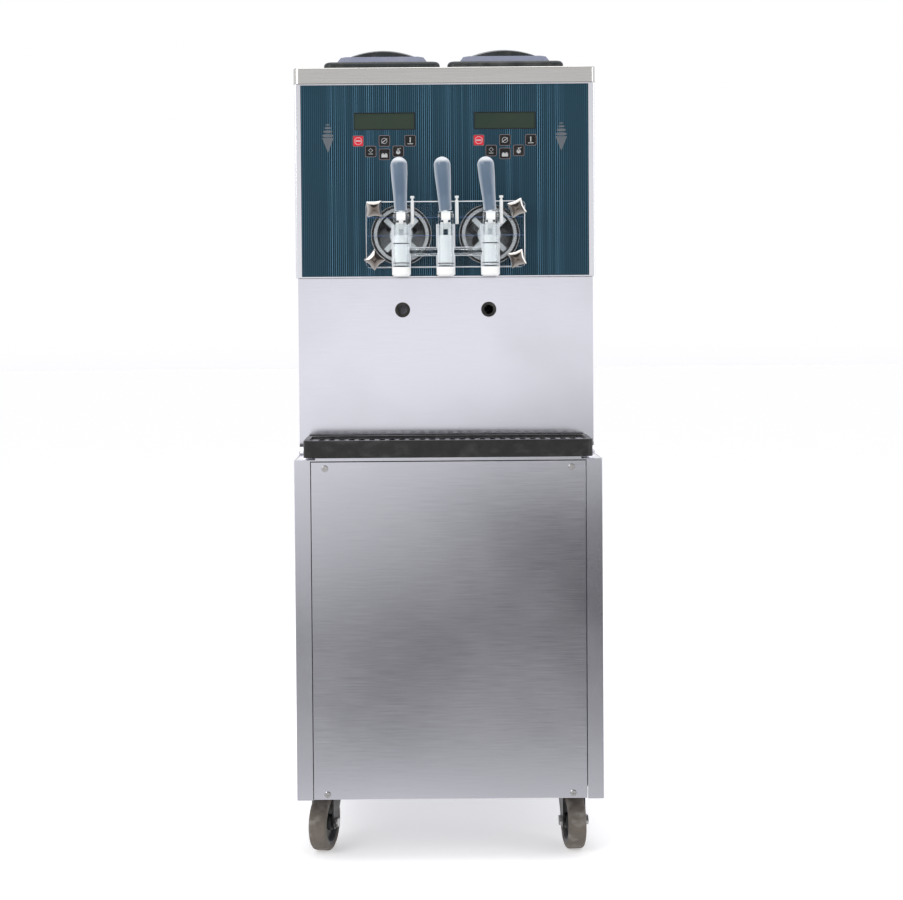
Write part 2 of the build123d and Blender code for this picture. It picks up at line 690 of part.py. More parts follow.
fan_motor_r = 36.0
fan_motor_len = 70.0
fan_motor_gap = 1.0         # hub to motor
fan_bracket = (40.0, 20.0)
bracket_back = 40.0         # bracket's front from the middle of the blades
with BuildPart() as motors:
    for x in (-cylinder_x, cylinder_x):
        back = Plane(origin=(x, gearbox_y, cylinder_z), x_dir=(1, 0, 0), z_dir=(0, 1, 0))
        with BuildSketch(back):
            RectangleRounded(gearbox[0], gearbox[2], 10)
        extrude(amount=gearbox[1])
        with BuildSketch(back.offset(gearbox[1])):
            Circle(motor_r)
        extrude(amount=motor_len)
        with BuildSketch(back):
            Circle(shaft_d / 2 + fit)
        extrude(amount=gear_bore_depth, mode=Mode.SUBTRACT)
    shaft_half = fan_hub_t / 2 + fan_motor_gap
    with BuildSketch(lying(fan_mid - shaft_half)):
        with Locations((0, fan_z)):
            Circle(fan_motor_r)
    extrude(amount=fan_motor_len)
    with BuildSketch(lying(fan_mid + shaft_half)):
        with Locations((0, fan_z)):
            Circle(fan_shaft / 2)
    extrude(amount=2 * shaft_half)
    with BuildSketch(lying(fan_mid - bracket_back)):
        with Locations((0, (floor_z + fan_z) / 2)):
            Rectangle(fan_bracket[0], fan_z - floor_z)
    extrude(amount=fan_bracket[1])
save(motors, "motors")

box_size = (220.0, 110.0, 280.0)
box_wall = 2.0
box_x = 120.0               # right of the middle
box_behind = 140.0          # its middle behind the pedestal front
box_under = 20.0            # below the top rails
box_low = rail_z - post / 2 - box_under - box_size[2]
with BuildPart() as electrical_box:
    for wall, mode in ((0, Mode.ADD), (box_wall, Mode.SUBTRACT)):
        with BuildSketch(Plane.XY.offset(box_low)):
            with Locations((box_x, pedestal_y + box_behind)):
                RectangleRounded(box_size[0] - 2 * wall, box_size[1] - 2 * wall, 6)
        extrude(amount=box_size[2] - wall, mode=mode)
save(electrical_box, "electrical_box")

# ---- freezer door with its valve barrels ---------------------------------------------------
door_w = 288.0
door_low = 1049.0
door_high = 1168.5
door_t = 24.0
seal_t = 2.0
valve_pitch = 80.0
valve_names = {"left": -1, "centre": 0, "right": 1}
plunger_d = 29.0
barrel_wall = 2.4
barrel_top = 1126.0
valve_out = 10.0            # valve axis ahead of the door's front face
cross_z = 1077.0
cross_d = 16.0
cross_bore = 8.0
pivot_out = 20.0            # handle pivot ahead of the valve axis
pivot_z = 1140.0
pin_d = 6.0
hub_r = 8.0
hub_w = 16.0
ear_t = 4.5
ear_r = 7.5
lift_drop = 16.0            # lift pin below the pivot at rest
seal_out = cylinder_r - 1
door_back = cylinder_face - seal_t
door_front = door_back - door_t
valve_y = door_front - valve_out
pivot_y = valve_y - pivot_out
barrel_r = plunger_d / 2 + fit + barrel_wall
stem_half = 5.5             # half the depth of the plunger's cheeks
with BuildPart() as door_block:
    with BuildSketch(lying(door_back)):
        with Locations((0, (door_low + door_high) / 2)):
            RectangleRounded(door_w, door_high - door_low, 8)
    extrude(amount=door_t)
    chamfer(door_block.faces().sort_by(Axis.Y)[0].edges(), 1.2)
    with BuildSketch(Plane.XY.offset(door_low)):
        with Locations(*[(side * valve_pitch, valve_y) for side in valve_names.values()]):
            Circle(barrel_r)
    extrude(amount=barrel_top - door_low)
    with BuildSketch(side_on(-valve_pitch)):
        with Locations((valve_y, cross_z)):
            Circle(cross_d / 2)
    extrude(amount=2 * valve_pitch)
    for side in valve_names.values():
        for start in (-hub_w / 2 - seam - ear_t, hub_w / 2 + seam):
            with BuildSketch(side_on(side * valve_pitch + start)):
                with Locations((pivot_y, pivot_z)):
                    Circle(ear_r)
                with BuildLine():
                    Polyline((pivot_y - 3, barrel_top - 3), (valve_y - stem_half - seam, barrel_top - 3),
                             (valve_y - stem_half - seam, barrel_top + 4), (pivot_y + 3, pivot_z + 4),
                             (pivot_y - 7, pivot_z - 2), close=True)
                make_face()
            extrude(amount=ear_t)
    for side in valve_names.values():
        with BuildSketch(Plane.XY.offset(door_low)):
            with Locations((side * valve_pitch, valve_y)):
                Circle(plunger_d / 2 + fit)
        extrude(amount=barrel_top - door_low, mode=Mode.SUBTRACT)
        with BuildSketch(side_on(side * valve_pitch - hub_w)):
            with Locations((pivot_y, pivot_z)):
                Circle(pin_d / 2)
        extrude(amount=2 * hub_w, mode=Mode.SUBTRACT)
    with BuildSketch(side_on(-valve_pitch)):
        with Locations((valve_y, cross_z)):
            Circle(cross_bore / 2)
    extrude(amount=2 * valve_pitch, mode=Mode.SUBTRACT)
    with BuildSketch(lying(door_back)):
        with Locations((-valve_pitch, cross_z), (valve_pitch, cross_z)):
            Circle(7)
    extrude(amount=door_back - valve_y, mode=Mode.SUBTRACT)
    with BuildSketch(lying(door_back)):
        with Locations(*stud_spots):
            Circle(stud_d / 2 + clear)
    extrude(amount=door_t, mode=Mode.SUBTRACT)
save(door_block, "door_block")

with BuildPart() as door_seals:
    with BuildSketch(lying(cylinder_face - 0.02)):
        with Locations((-cylinder_x, cylinder_z), (cylinder_x, cylinder_z)):
            Circle(seal_out)
            Circle(seal_out - 4, mode=Mode.SUBTRACT)
    extrude(amount=seal_t - 0.04)
save(door_seals, "door_seals")

knob_side = 29.0
knob_t = 20.0
knob_turns = {"lower_left": (-1, 0, 45.0), "upper_left": (-1, 1, 3.0),
              "lower_right": (1, 0, 17.0), "upper_right": (1, 1, 22.0)}
knob_back = door_front - clear
stud_end = knob_back - knob_t + 5
with BuildPart() as door_studs:
    with BuildSketch(lying(fascia_y + fascia_t + 8)):
        with Locations(*stud_spots):
            Circle(stud_d / 2)
    extrude(amount=fascia_y + fascia_t + 8 - stud_end)
    with BuildSketch(lying(fascia_y + fascia_t + 8)):
        with Locations(*stud_spots):
            RegularPolygon(8, 6)
    extrude(amount=8 - seam)
save(door_studs, "door_studs")

for name, (side, row, turn) in knob_turns.items():
    with BuildPart() as knob:
        grip_plane = Plane(origin=(side * stud_x, knob_back, stud_z[row]),
                           x_dir=(cos(radians(turn)), 0, sin(radians(turn))), z_dir=(0, -1, 0))
        with BuildSketch(grip_plane):
            star = Rectangle(knob_side, knob_side)
            fillet(star.vertices(), 4)
            with PolarLocations(knob_side / 2 + 32.5, 4):
                Circle(35, mode=Mode.SUBTRACT)
        extrude(amount=knob_t)
        chamfer(knob.faces().sort_by(Axis.Y)[0].edges(), 2)
        with BuildSketch(grip_plane):
            Circle(stud_d / 2 + fit)
        extrude(amount=knob_t - 4, mode=Mode.SUBTRACT)
    save(knob, f"knob_{name}")

with BuildPart() as pivot_pins:
    for side in valve_names.values():
        with BuildSketch(side_on(side * valve_pitch - hub_w / 2 - seam - ear_t - 1)):
            with Locations((pivot_y, pivot_z)):
                Circle(pin_d / 2)
        extrude(amount=hub_w + 2 * (seam + ear_t + 1))
save(pivot_pins, "pivot_pins")

cap_d = 33.7
cap_h = 15.0
adjuster_x = barrel_r + 0.5
adjuster_w = 6.0
with BuildPart() as nozzle_caps:
    for side in valve_names.values():
        with BuildSketch(Plane.XY.offset(door_low - 1)):
            with Locations((side * valve_pitch, valve_y)):
                Circle(cap_d / 2)
        extrude(amount=-cap_h)
    chamfer(nozzle_caps.edges().filter_by(GeomType.CIRCLE).group_by(Axis.Z)[0], 3)
    for side in valve_names.values():
        with BuildSketch(Plane.XY.offset(door_low - 1)):
            with Locations((side * valve_pitch, valve_y)):
                Circle(9)
                with PolarLocations(9, 6):
                    Circle(3.2)
        extrude(amount=-cap_h, mode=Mode.SUBTRACT)
        with BuildSketch(Plane.XY.offset(door_low - 1)):
            with Locations((side * valve_pitch, valve_y)):
                Circle(cap_d / 2)
                Circle(plunger_d / 2 - 2, mode=Mode.SUBTRACT)
        extrude(amount=0.98)
save(nozzle_caps, "nozzle_caps")

with BuildPart() as flow_adjusters:
    for side in valve_names.values():
        x = side * valve_pitch + adjuster_x + adjuster_w / 2
        with BuildSketch(Plane.XY.offset(barrel_top + seam)):
            with Locations((x, door_front - 5.02)):
                RectangleRounded(adjuster_w, 10, 1.5)
        extrude(amount=door_high - barrel_top)
        with BuildSketch(Plane.XY.offset(door_high + seam)):
            with Locations((x, door_front - 5.02)):
                Circle(2)
        extrude(amount=4)
        with BuildSketch(Plane.XY.offset(door_high + seam + 4)):
            with Locations((x, door_front - 5.02)):
                Circle(3.6)
        extrude(amount=4)
save(flow_adjusters, "flow_adjusters")

# ---- draw handles and plungers -------------------------------------------------------------
handle_travel = 45.0        # degrees, toward the user
arm_w = 8.0
lift_pin_d = 5.0
slot_gap = 1.0
prong = 3.0
plunger_low = door_low + 3
plunger_high = 1106.0
cheek_w = 5.0
lean_side = {"left": 1.8, "centre": 3.8, "right": 5.4}  # resting lean of the grips, in degrees
lean_front = 4.0
grip_start = 9.0            # grip base from the pivot
grip_len = 96.0
grip_base = 23.0
grip_top = 30.0
stud_len = 36.0
tang = 7.0
arm_tilt = degrees(atan2(-lift_drop, pivot_out))
reach = hypot(lift_drop, pivot_out)
lift_per_rad = 24.0         # plunger lift in mm for each radian of the handle
for name, side in valve_names.items():
    x = side * valve_pitch
    grip_dir = Vector(-sin(radians(lean_side[name])), -sin(radians(lean_front)), 1).normalized()
    across_dir = Vector(1, 0, 0)
    across_dir = (across_dir - grip_dir * across_dir.dot(grip_dir)).normalized()
    pivot = Vector(x, pivot_y, pivot_z)
    grip_section = Plane(origin=pivot, x_dir=across_dir, z_dir=across_dir.cross(grip_dir))
    up_grip = Plane(origin=pivot, x_dir=across_dir, z_dir=grip_dir)
    with BuildPart() as lever:
        with BuildSketch(side_on(x - hub_w / 2)):
            with Locations((pivot_y, pivot_z)):
                Circle(hub_r)
        extrude(amount=hub_w)
        arm_plane = Plane(origin=(x - arm_w / 2, pivot_y, pivot_z),
                          x_dir=(0, cos(radians(arm_tilt)), sin(radians(arm_tilt))), z_dir=(1, 0, 0))
        half_slot = lift_pin_d / 2 + slot_gap
        slot_start = pivot_out - half_slot - slot_gap
        arm_end = sqrt((pivot_out + valve_out - clear) ** 2 - (half_slot + prong) ** 2)
        with BuildSketch(arm_plane):
            with Locations((arm_end / 2, 0)):
                Rectangle(arm_end, 2 * (half_slot + prong))
            with Locations((slot_start + reach / 2, 0)):
                Rectangle(reach, 2 * half_slot, mode=Mode.SUBTRACT)
        extrude(amount=arm_w)
        with BuildSketch(up_grip.offset(hub_r - 3)):
            Circle(tang / 2)
        extrude(amount=stud_len - hub_r + 3)
        fillet(lever.edges().filter_by(GeomType.CIRCLE).sort_by(Axis.Z)[-1], 2)
        with BuildSketch(side_on(x - hub_w / 2)):
            with Locations((pivot_y, pivot_z)):
                Circle(pin_d / 2 + fit)
        extrude(amount=hub_w, mode=Mode.SUBTRACT)
    save(lever, f"lever_{name}")

    with BuildPart() as grip:
        dome_r = grip_top / 2
        with BuildSketch(grip_section):
            with BuildLine():
                Line((0, grip_start), (grip_base / 2, grip_start))
                Spline((grip_base / 2, grip_start), (grip_base / 2 + 1.2, grip_start + 30),
                       (dome_r, grip_start + grip_len - dome_r), tangents=((0, 1), (0, 1)))
                ThreePointArc((dome_r, grip_start + grip_len - dome_r),
                              (dome_r * sqrt(0.5), grip_start + grip_len - dome_r * (1 - sqrt(0.5))),
                              (0, grip_start + grip_len))
                Line((0, grip_start + grip_len), (0, grip_start))
            make_face()
        revolve(axis=Axis(origin=pivot, direction=grip_dir))
        with BuildSketch(up_grip.offset(grip_start)):
            Circle(tang / 2 + fit)
        extrude(amount=stud_len - grip_start + 1, mode=Mode.SUBTRACT)
    save(grip, f"grip_{name}")

    with BuildPart() as plunger:
        with BuildSketch(Plane.XY.offset(plunger_low)):
            with Locations((x, valve_y)):
                Circle(plunger_d / 2)
        extrude(amount=plunger_high - plunger_low)
        chamfer(plunger.edges().filter_by(GeomType.CIRCLE).sort_by(Axis.Z)[0], 2)
        lift_z = pivot_z - lift_drop
        for start in (-arm_w / 2 - clear - cheek_w, arm_w / 2 + clear):
            with BuildSketch(side_on(x + start)):
                with Locations((valve_y, (plunger_high - 1 + lift_z) / 2)):
                    Rectangle(2 * stem_half, lift_z - plunger_high + 1)
                with Locations((valve_y, lift_z)):
                    Circle(stem_half)
            extrude(amount=cheek_w)
        with BuildSketch(side_on(x - arm_w / 2 - clear - 1)):
            with Locations((valve_y, lift_z)):
                Circle(lift_pin_d / 2)
        extrude(amount=arm_w + 2 * clear + 2)
    save(plunger, f"plunger_{name}")

# ---- drip tray and its grid ----------------------------------------------------------------
tray_w = 508.0
tray_h = 30.0
tray_low = deck_z + lip_h + clear
tray_back = splash_y - cove - 2
tray_wall = 10.0
tray_floor = 3.0
tray_bow = 4.0
grid_t = 1.5
grid_drop = 4.0             # grid below the tray's rim
slot_pitch = 18.0
slot_w = 10.0
with BuildPart() as drip_tray:
    with BuildSketch(Plane.XY.offset(tray_low)):
        with BuildLine():
            Polyline((-tray_w / 2, tray_front + tray_bow), (-tray_w / 2, tray_back), (tray_w / 2, tray_back),
                     (tray_w / 2, tray_front + tray_bow))
            ThreePointArc((tray_w / 2, tray_front + tray_bow), (0, tray_front), (-tray_w / 2, tray_front + tray_bow))
        make_face()
    extrude(amount=tray_h)
    fillet(drip_tray.edges().filter_by(Axis.Z).group_by(Axis.Y)[0], 14)
    fillet(drip_tray.faces().sort_by(Axis.Z)[-1].edges(), 1.5)
    inner_front = tray_front + tray_bow + tray_wall
    inner_back = tray_back - tray_wall
    inner_l = inner_back - inner_front
    inner_w = tray_w - 2 * tray_wall
    with BuildSketch(Plane.XY.offset(tray_low + tray_floor)):
        with Locations((0, (inner_front + inner_back) / 2)):
            RectangleRounded(inner_w - 6, inner_l - 6, 6)
    extrude(amount=tray_h, mode=Mode.SUBTRACT)
    grid_z = tray_low + tray_h - grid_drop - grid_t
    with BuildSketch(Plane.XY.offset(grid_z - clear)):
        with Locations((0, (inner_front + inner_back) / 2)):
            RectangleRounded(inner_w, inner_l, 8)
    extrude(amount=tray_h, mode=Mode.SUBTRACT)
save(drip_tray, "drip_tray")

slots = int((inner_w - 20) / slot_pitch)
with BuildPart() as drip_grid:
    with BuildSketch(Plane.XY.offset(grid_z)):
        with Locations((0, (inner_front + inner_back) / 2)):
            RectangleRounded(inner_w - 2 * clear, inner_l - 2 * clear, 7.6)
            with GridLocations(slot_pitch, 1, slots, 1):
                SlotOverall(inner_l - 24, slot_w, rotation=90, mode=Mode.SUBTRACT)
    extrude(amount=grid_t)
save(drip_grid, "drip_grid")

print("valve axis", round(valve_y, 2), "pivot", round(pivot_y, 2), pivot_z)
print("plunger lift", round(lift_per_rad * radians(handle_travel), 2))
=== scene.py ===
import json
import math

import bmesh
import bpy
from mathutils import Matrix, Vector


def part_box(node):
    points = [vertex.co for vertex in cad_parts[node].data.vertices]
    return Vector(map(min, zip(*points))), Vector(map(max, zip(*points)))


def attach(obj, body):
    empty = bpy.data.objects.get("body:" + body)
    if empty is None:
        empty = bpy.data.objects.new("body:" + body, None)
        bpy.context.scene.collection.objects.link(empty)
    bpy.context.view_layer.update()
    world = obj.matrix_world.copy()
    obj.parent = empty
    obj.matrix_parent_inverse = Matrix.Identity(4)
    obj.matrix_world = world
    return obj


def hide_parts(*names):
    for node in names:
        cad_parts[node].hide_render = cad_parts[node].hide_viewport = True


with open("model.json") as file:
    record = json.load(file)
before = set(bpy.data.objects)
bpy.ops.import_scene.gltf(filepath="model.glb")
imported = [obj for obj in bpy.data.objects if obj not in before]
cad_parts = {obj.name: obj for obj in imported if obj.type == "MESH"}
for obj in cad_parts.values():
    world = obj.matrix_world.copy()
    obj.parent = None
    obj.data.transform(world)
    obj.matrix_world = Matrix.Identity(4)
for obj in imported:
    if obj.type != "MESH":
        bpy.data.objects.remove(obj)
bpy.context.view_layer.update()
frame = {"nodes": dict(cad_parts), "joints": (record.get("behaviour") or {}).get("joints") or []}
nodes = frame["nodes"]

# ---- Camera --------------------------------------------------------------------------------
# Stands about three metres in front of the machine at chest height, a little to the right.
# It looks slightly down and leans a touch to one side. Lengths are in metres, angles in degrees.
front_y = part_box("front_panel")[0].y
camera_x, camera_ahead, camera_height = -0.053, 2.917, 0.955
camera_down, camera_roll = 1.5, -0.45
camera_data = bpy.data.cameras.new("camera")
camera_data.sensor_width = 36.0
camera_data.lens = 66.54
camera_data.shift_x = 0.038
camera_data.shift_y = -0.096
camera_data.clip_end = 40.0
camera = bpy.data.objects.new("camera", camera_data)
bpy.context.scene.collection.objects.link(camera)
camera.matrix_world = (
    Matrix.Translation((camera_x, front_y - camera_ahead, camera_height))
    @ Matrix.Rotation(math.radians(90 - camera_down), 4, "X")
    @ Matrix.Rotation(math.radians(camera_roll), 4, "Z")
)
bpy.context.scene.camera = camera

# ---- Floor, backdrop and studio light ------------------------------------------------------
# A white studio: pale floor and bright backdrop, a soft box high on the left as the key, a wide
# one overhead and a weaker one on the right. The room in front is graded from white at standing
# height to grey near the ground and under the roof, which is what the polished steel mirrors.

def link(thing):
    bpy.context.scene.collection.objects.link(thing)
    return thing


def to_object(name, bm, material=None, smooth=40.0):
    """Turn a finished bmesh into an object at the origin, shaded smooth below the given angle."""
    mesh = bpy.data.meshes.new(name)
    bm.to_mesh(mesh)
    bm.free()
    if smooth:
        mesh.polygons.foreach_set("use_smooth", [True] * len(mesh.polygons))
        mesh.set_sharp_from_angle(angle=math.radians(smooth))
    piece = link(bpy.data.objects.new(name, mesh))
    if material:
        mesh.materials.append(material)
    return piece


class Shader:
    """A material's node tree with short ways to add and join nodes."""

    def __init__(self, name):
        self.material = bpy.data.materials.new(name)
        self.material.use_nodes = True
        self.tree = self.material.node_tree
        self.skin = self.tree.nodes["Principled BSDF"]
        self.place = self.add("ShaderNodeTexCoord").outputs["Object"]

    def add(self, kind, **values):
        node = self.tree.nodes.new(kind)
        for key, value in values.items():
            if hasattr(node, key):
                setattr(node, key, value)
            else:
                node.inputs[key.replace("_", " ")].default_value = value
        return node

    def join(self, source, target):
        self.tree.links.new(source, target)
        return self

    def set(self, **values):
        for key, value in values.items():
            self.skin.inputs[key.replace("_", " ")].default_value = value
        return self

    def use(self, group, **values):
        node = self.tree.nodes.new("ShaderNodeGroup")
        node.node_tree = group
        for key, value in values.items():
            node.inputs[key].default_value = value
        if "Place" in node.inputs:
            self.join(self.place, node.inputs["Place"])
        return node

    def blend(self, factor, low, high):
        """Mix two colours, each a colour value or a socket, by a factor socket or number."""
        node = self.tree.nodes.new("ShaderNodeMix")
        node.data_type = "RGBA"
        for socket, value in ((node.inputs[0], factor), (node.inputs[6], low), (node.inputs[7], high)):
            if isinstance(value, bpy.types.NodeSocket):
                self.join(value, socket)
            else:
                socket.default_value = value
        return node.outputs[2]

    def maths(self, operation, a, b=0.0):
        node = self.tree.nodes.new("ShaderNodeMath")
        node.operation = operation
        for socket, value in ((node.inputs[0], a), (node.inputs[1], b)):
            if isinstance(value, bpy.types.NodeSocket):
                self.join(value, socket)
            else:
                socket.default_value = value
        return node.outputs[0]

    def ramp(self, source, low, high, top=1.0):
        """Rise from 0 to top while the source socket goes from low to high."""
        node = self.add("ShaderNodeMapRange", From_Min=low, From_Max=high, To_Max=top)
        self.join(source, node.inputs["Value"])
        return node.outputs[0]

    def bump(self, height, strength, distance):
        node = self.add("ShaderNodeBump", Strength=strength, Distance=distance)
        self.join(height, node.inputs["Height"]).join(node.outputs[0], self.skin.inputs["Normal"])
        return self


def area_light(name, place, aim, size, power, colour=(1, 1, 1)):
    data = bpy.data.lights.new(name, "AREA")
    data.shape = "RECTANGLE"
    data.size, data.size_y = size
    data.energy = power
    data.color = colour
    lamp = link(bpy.data.objects.new(name, data))
    direction = Vector(aim) - Vector(place)
    lamp.matrix_world = Matrix.Translation(place) @ direction.to_track_quat("-Z", "Y").to_matrix().to_4x4()


backdrop_shader = Shader("studio_paper")
paper_noise = backdrop_shader.add("ShaderNodeTexNoise", Scale=3.0, Detail=2.0)
backdrop_shader.join(backdrop_shader.place, paper_noise.inputs["Vector"])
backdrop_shader.join(
    backdrop_shader.blend(paper_noise.outputs[0], (0.86, 0.86, 0.87, 1), (0.89, 0.89, 0.895, 1)),
    backdrop_shader.skin.inputs["Base Color"],
).set(Roughness=0.75, Emission_Color=(1, 1, 1, 1), Emission_Strength=0.4)
sweep = bmesh.new()
bmesh.ops.create_grid(sweep, x_segments=1, y_segments=1, size=30.0)
floor = to_object("studio_floor", sweep, backdrop_shader.material, smooth=0)
floor.visible_glossy = False

world = bpy.data.worlds.new("studio")
bpy.context.scene.world = world
bpy.context.scene.view_settings.view_transform = "Standard"
world.use_nodes = True
room = world.node_tree
heading = room.nodes.new("ShaderNodeSeparateXYZ")
room.links.new(room.nodes.new("ShaderNodeTexCoord").outputs["Generated"], heading.inputs[0])


def room_range(source, from_low, from_high):
    node = room.nodes.new("ShaderNodeMapRange")
    node.interpolation_type = "SMOOTHSTEP"
    node.inputs["From Min"].default_value = from_low
    node.inputs["From Max"].default_value = from_high
    room.links.new(source, node.inputs["Value"])
    return node.outputs[0]


def room_grade(stops):
    """Brightness by the sine of the elevation, from (sine, brightness) stops."""
    ramp = room.nodes.new("ShaderNodeValToRGB")
    ramp.color_ramp.interpolation = "EASE"
    while len(ramp.color_ramp.elements) < len(stops):
        ramp.color_ramp.elements.new(0.5)
    for element, (sine, bright) in zip(ramp.color_ramp.elements, stops):
        element.position = 0.5 + sine
        element.color = (bright, bright, bright * 1.03, 1)
    lift = room.nodes.new("ShaderNodeMath")
    lift.operation = "ADD"
    lift.inputs[1].default_value = 0.5
    room.links.new(heading.outputs["Z"], lift.inputs[0])
    room.links.new(lift.outputs[0], ramp.inputs[0])
    return ramp.outputs[0]


def room_mix(factor, low, high):
    node = room.nodes.new("ShaderNodeMix")
    node.data_type = "RGBA"
    for socket, source in ((node.inputs[0], factor), (node.inputs[6], low), (node.inputs[7], high)):
        room.links.new(source, socket)
    return node.outputs[2]


left_grade = room_grade([
    (-0.5, 0.9), (-0.29, 1.0), (-0.245, 0.28), (-0.19, 0.30), (-0.12, 0.80),
    (-0.06, 1.2), (-0.02, 1.2), (0.06, 0.98), (0.3, 0.5), (0.45, 0.12),
])
right_grade = room_grade([
    (-0.5, 0.9), (-0.29, 1.0), (-0.245, 0.26), (-0.19, 0.12), (-0.12, 0.14),
    (-0.075, 0.36), (-0.05, 1.2), (-0.02, 1.2), (0.06, 0.98), (0.45, 0.12),
])
back_grade = room_grade([(-0.5, 0.7), (-0.1, 0.8), (-0.01, 1.0), (0.3, 1.0), (0.5, 0.9)])
ahead = room_mix(room_range(heading.outputs["X"], -0.10, 0.12), left_grade, right_grade)
everywhere = room_mix(room_range(heading.outputs["Y"], -0.35, 0.0), ahead, back_grade)
room.links.new(everywhere, room.nodes["Background"].inputs["Color"])
room.nodes["Background"].inputs["Strength"].default_value = 1.0
area_light("key_box", (-2.3, -2.6, 2.6), (0, 0, 0.9), (1.8, 2.2), 55)
area_light("top_box", (0.2, -0.6, 3.4), (0, -0.1, 0.8), (2.6, 2.2), 40)
area_light("side_box", (2.8, -1.4, 1.5), (0, 0, 0.8), (0.8, 2.4), 14, (0.95, 0.97, 1.0))

# ---- Effects shared by the metals and plastics ---------------------------------------------
# Brushing: fine scratches drawn out along one direction. Wear: soft smudges from handling, and
# dust. Grain: the fine pebbling of moulded plastic. Each gives masks, values or heights only.


def effect(name, inputs, outputs):
    group = bpy.data.node_groups.new(name, "ShaderNodeTree")
    for label, kind, value in inputs:
        socket = group.interface.new_socket(label, in_out="INPUT", socket_type=kind)
        if value is not None:
            socket.default_value = value
    for label in outputs:
        group.interface.new_socket(label, in_out="OUTPUT", socket_type="NodeSocketFloat")
    return group, group.nodes.new("NodeGroupInput"), group.nodes.new("NodeGroupOutput")


def scaled_noise(group, source, scale_socket, factor, detail=3.0, roughness=0.6):
    """Noise in the group, on coordinates stretched by a vector input."""
    stretch = group.nodes.new("ShaderNodeVectorMath")
    stretch.operation = "MULTIPLY"
    group.links.new(source, stretch.inputs[0])
    group.links.new(scale_socket, stretch.inputs[1])
    texture = group.nodes.new("ShaderNodeTexNoise")
    texture.inputs["Scale"].default_value = factor
    texture.inputs["Detail"].default_value = detail
    texture.inputs["Roughness"].default_value = roughness
    group.links.new(stretch.outputs[0], texture.inputs["Vector"])
    return texture.outputs[0]


def remap(group, value, low, high):
    node = group.nodes.new("ShaderNodeMapRange")
    node.inputs["From Min"].default_value = low
    node.inputs["From Max"].default_value = high
    group.links.new(value, node.inputs["Value"])
    return node.outputs[0]


brushing, b_in, b_out = effect(
    "brushing",
    [("Place", "NodeSocketVector", None), ("Stretch", "NodeSocketVector", (2.0, 60.0, 60.0))],
    ["Tone", "Height"],
)
fine = scaled_noise(brushing, b_in.outputs["Place"], b_in.outputs["Stretch"], 24.0, 4.0, 0.7)
coarse = scaled_noise(brushing, b_in.outputs["Place"], b_in.outputs["Stretch"], 5.0, 2.0)
total = brushing.nodes.new("ShaderNodeMath")
total.operation = "ADD"
brushing.links.new(fine, total.inputs[0])
brushing.links.new(coarse, total.inputs[1])
brushing.links.new(remap(brushing, total.outputs[0], 0.7, 1.3), b_out.inputs["Tone"])
brushing.links.new(fine, b_out.inputs["Height"])

wear, w_in, w_out = effect(
    "wear",
    [("Place", "NodeSocketVector", None), ("Size", "NodeSocketFloat", 8.0)],
    ["Smudge", "Dust"],
)
for label, factor, low, high, stretch in (
    ("Smudge", 1.0, 0.42, 0.66, (1, 1, 1)),
    ("Dust", 6.0, 0.5, 0.75, (1, 1, 1.6)),
):
    spread = wear.nodes.new("ShaderNodeVectorMath")
    spread.operation = "MULTIPLY"
    spread.inputs[1].default_value = stretch
    wear.links.new(w_in.outputs["Place"], spread.inputs[0])
    times = wear.nodes.new("ShaderNodeMath")
    times.operation = "MULTIPLY"
    times.inputs[1].default_value = factor
    wear.links.new(w_in.outputs["Size"], times.inputs[0])
    texture = wear.nodes.new("ShaderNodeTexNoise")
    texture.inputs["Detail"].default_value = 4.0
    wear.links.new(spread.outputs[0], texture.inputs["Vector"])
    wear.links.new(times.outputs[0], texture.inputs["Scale"])
    wear.links.new(remap(wear, texture.outputs[0], low, high), w_out.inputs[label])

grain, g_in, g_out = effect(
    "grain",
    [("Place", "NodeSocketVector", None), ("Pitch", "NodeSocketFloat", 900.0)],
    ["Height", "Fleck"],
)
pebbles = grain.nodes.new("ShaderNodeTexVoronoi")
grain.links.new(g_in.outputs["Place"], pebbles.inputs["Vector"])
grain.links.new(g_in.outputs["Pitch"], pebbles.inputs["Scale"])
flecks = grain.nodes.new("ShaderNodeTexNoise")
flecks.inputs["Detail"].default_value = 5.0
flecks.inputs["Scale"].default_value = 60.0
grain.links.new(g_in.outputs["Place"], flecks.inputs["Vector"])
grain.links.new(pebbles.outputs["Distance"], g_out.inputs["Height"])
grain.links.new(remap(grain, flecks.outputs[0], 0.4, 0.7), g_out.inputs["Fleck"])


def brushed_steel(name, light, dark, rough, along, anisotropic=0.5, bump=0.06):
    """Satin steel, brushed along one axis (x, y or z), with faint wipe marks."""
    steel = Shader(name)
    stretch = {"x": (3, 160, 160), "y": (160, 3, 160), "z": (160, 160, 3)}[along]
    lines = steel.use(brushing, Stretch=stretch)
    marks = steel.use(wear, Size=3.0)
    tone = steel.blend(lines.outputs["Tone"], dark, light)
    tone = steel.blend(steel.maths("MULTIPLY", marks.outputs["Smudge"], 0.12), tone, (0.55, 0.54, 0.53, 1))
    steel.join(tone, steel.skin.inputs["Base Color"])
    spread = steel.maths("ADD", steel.maths("MULTIPLY", lines.outputs["Tone"], 0.05), rough)
    spread = steel.maths("ADD", spread, steel.maths("MULTIPLY", marks.outputs["Smudge"], 0.05))
    steel.join(spread, steel.skin.inputs["Roughness"])
    steel.bump(lines.outputs["Height"], bump, 0.0002)
    return steel.set(Metallic=1.0, Anisotropic=anisotropic).material


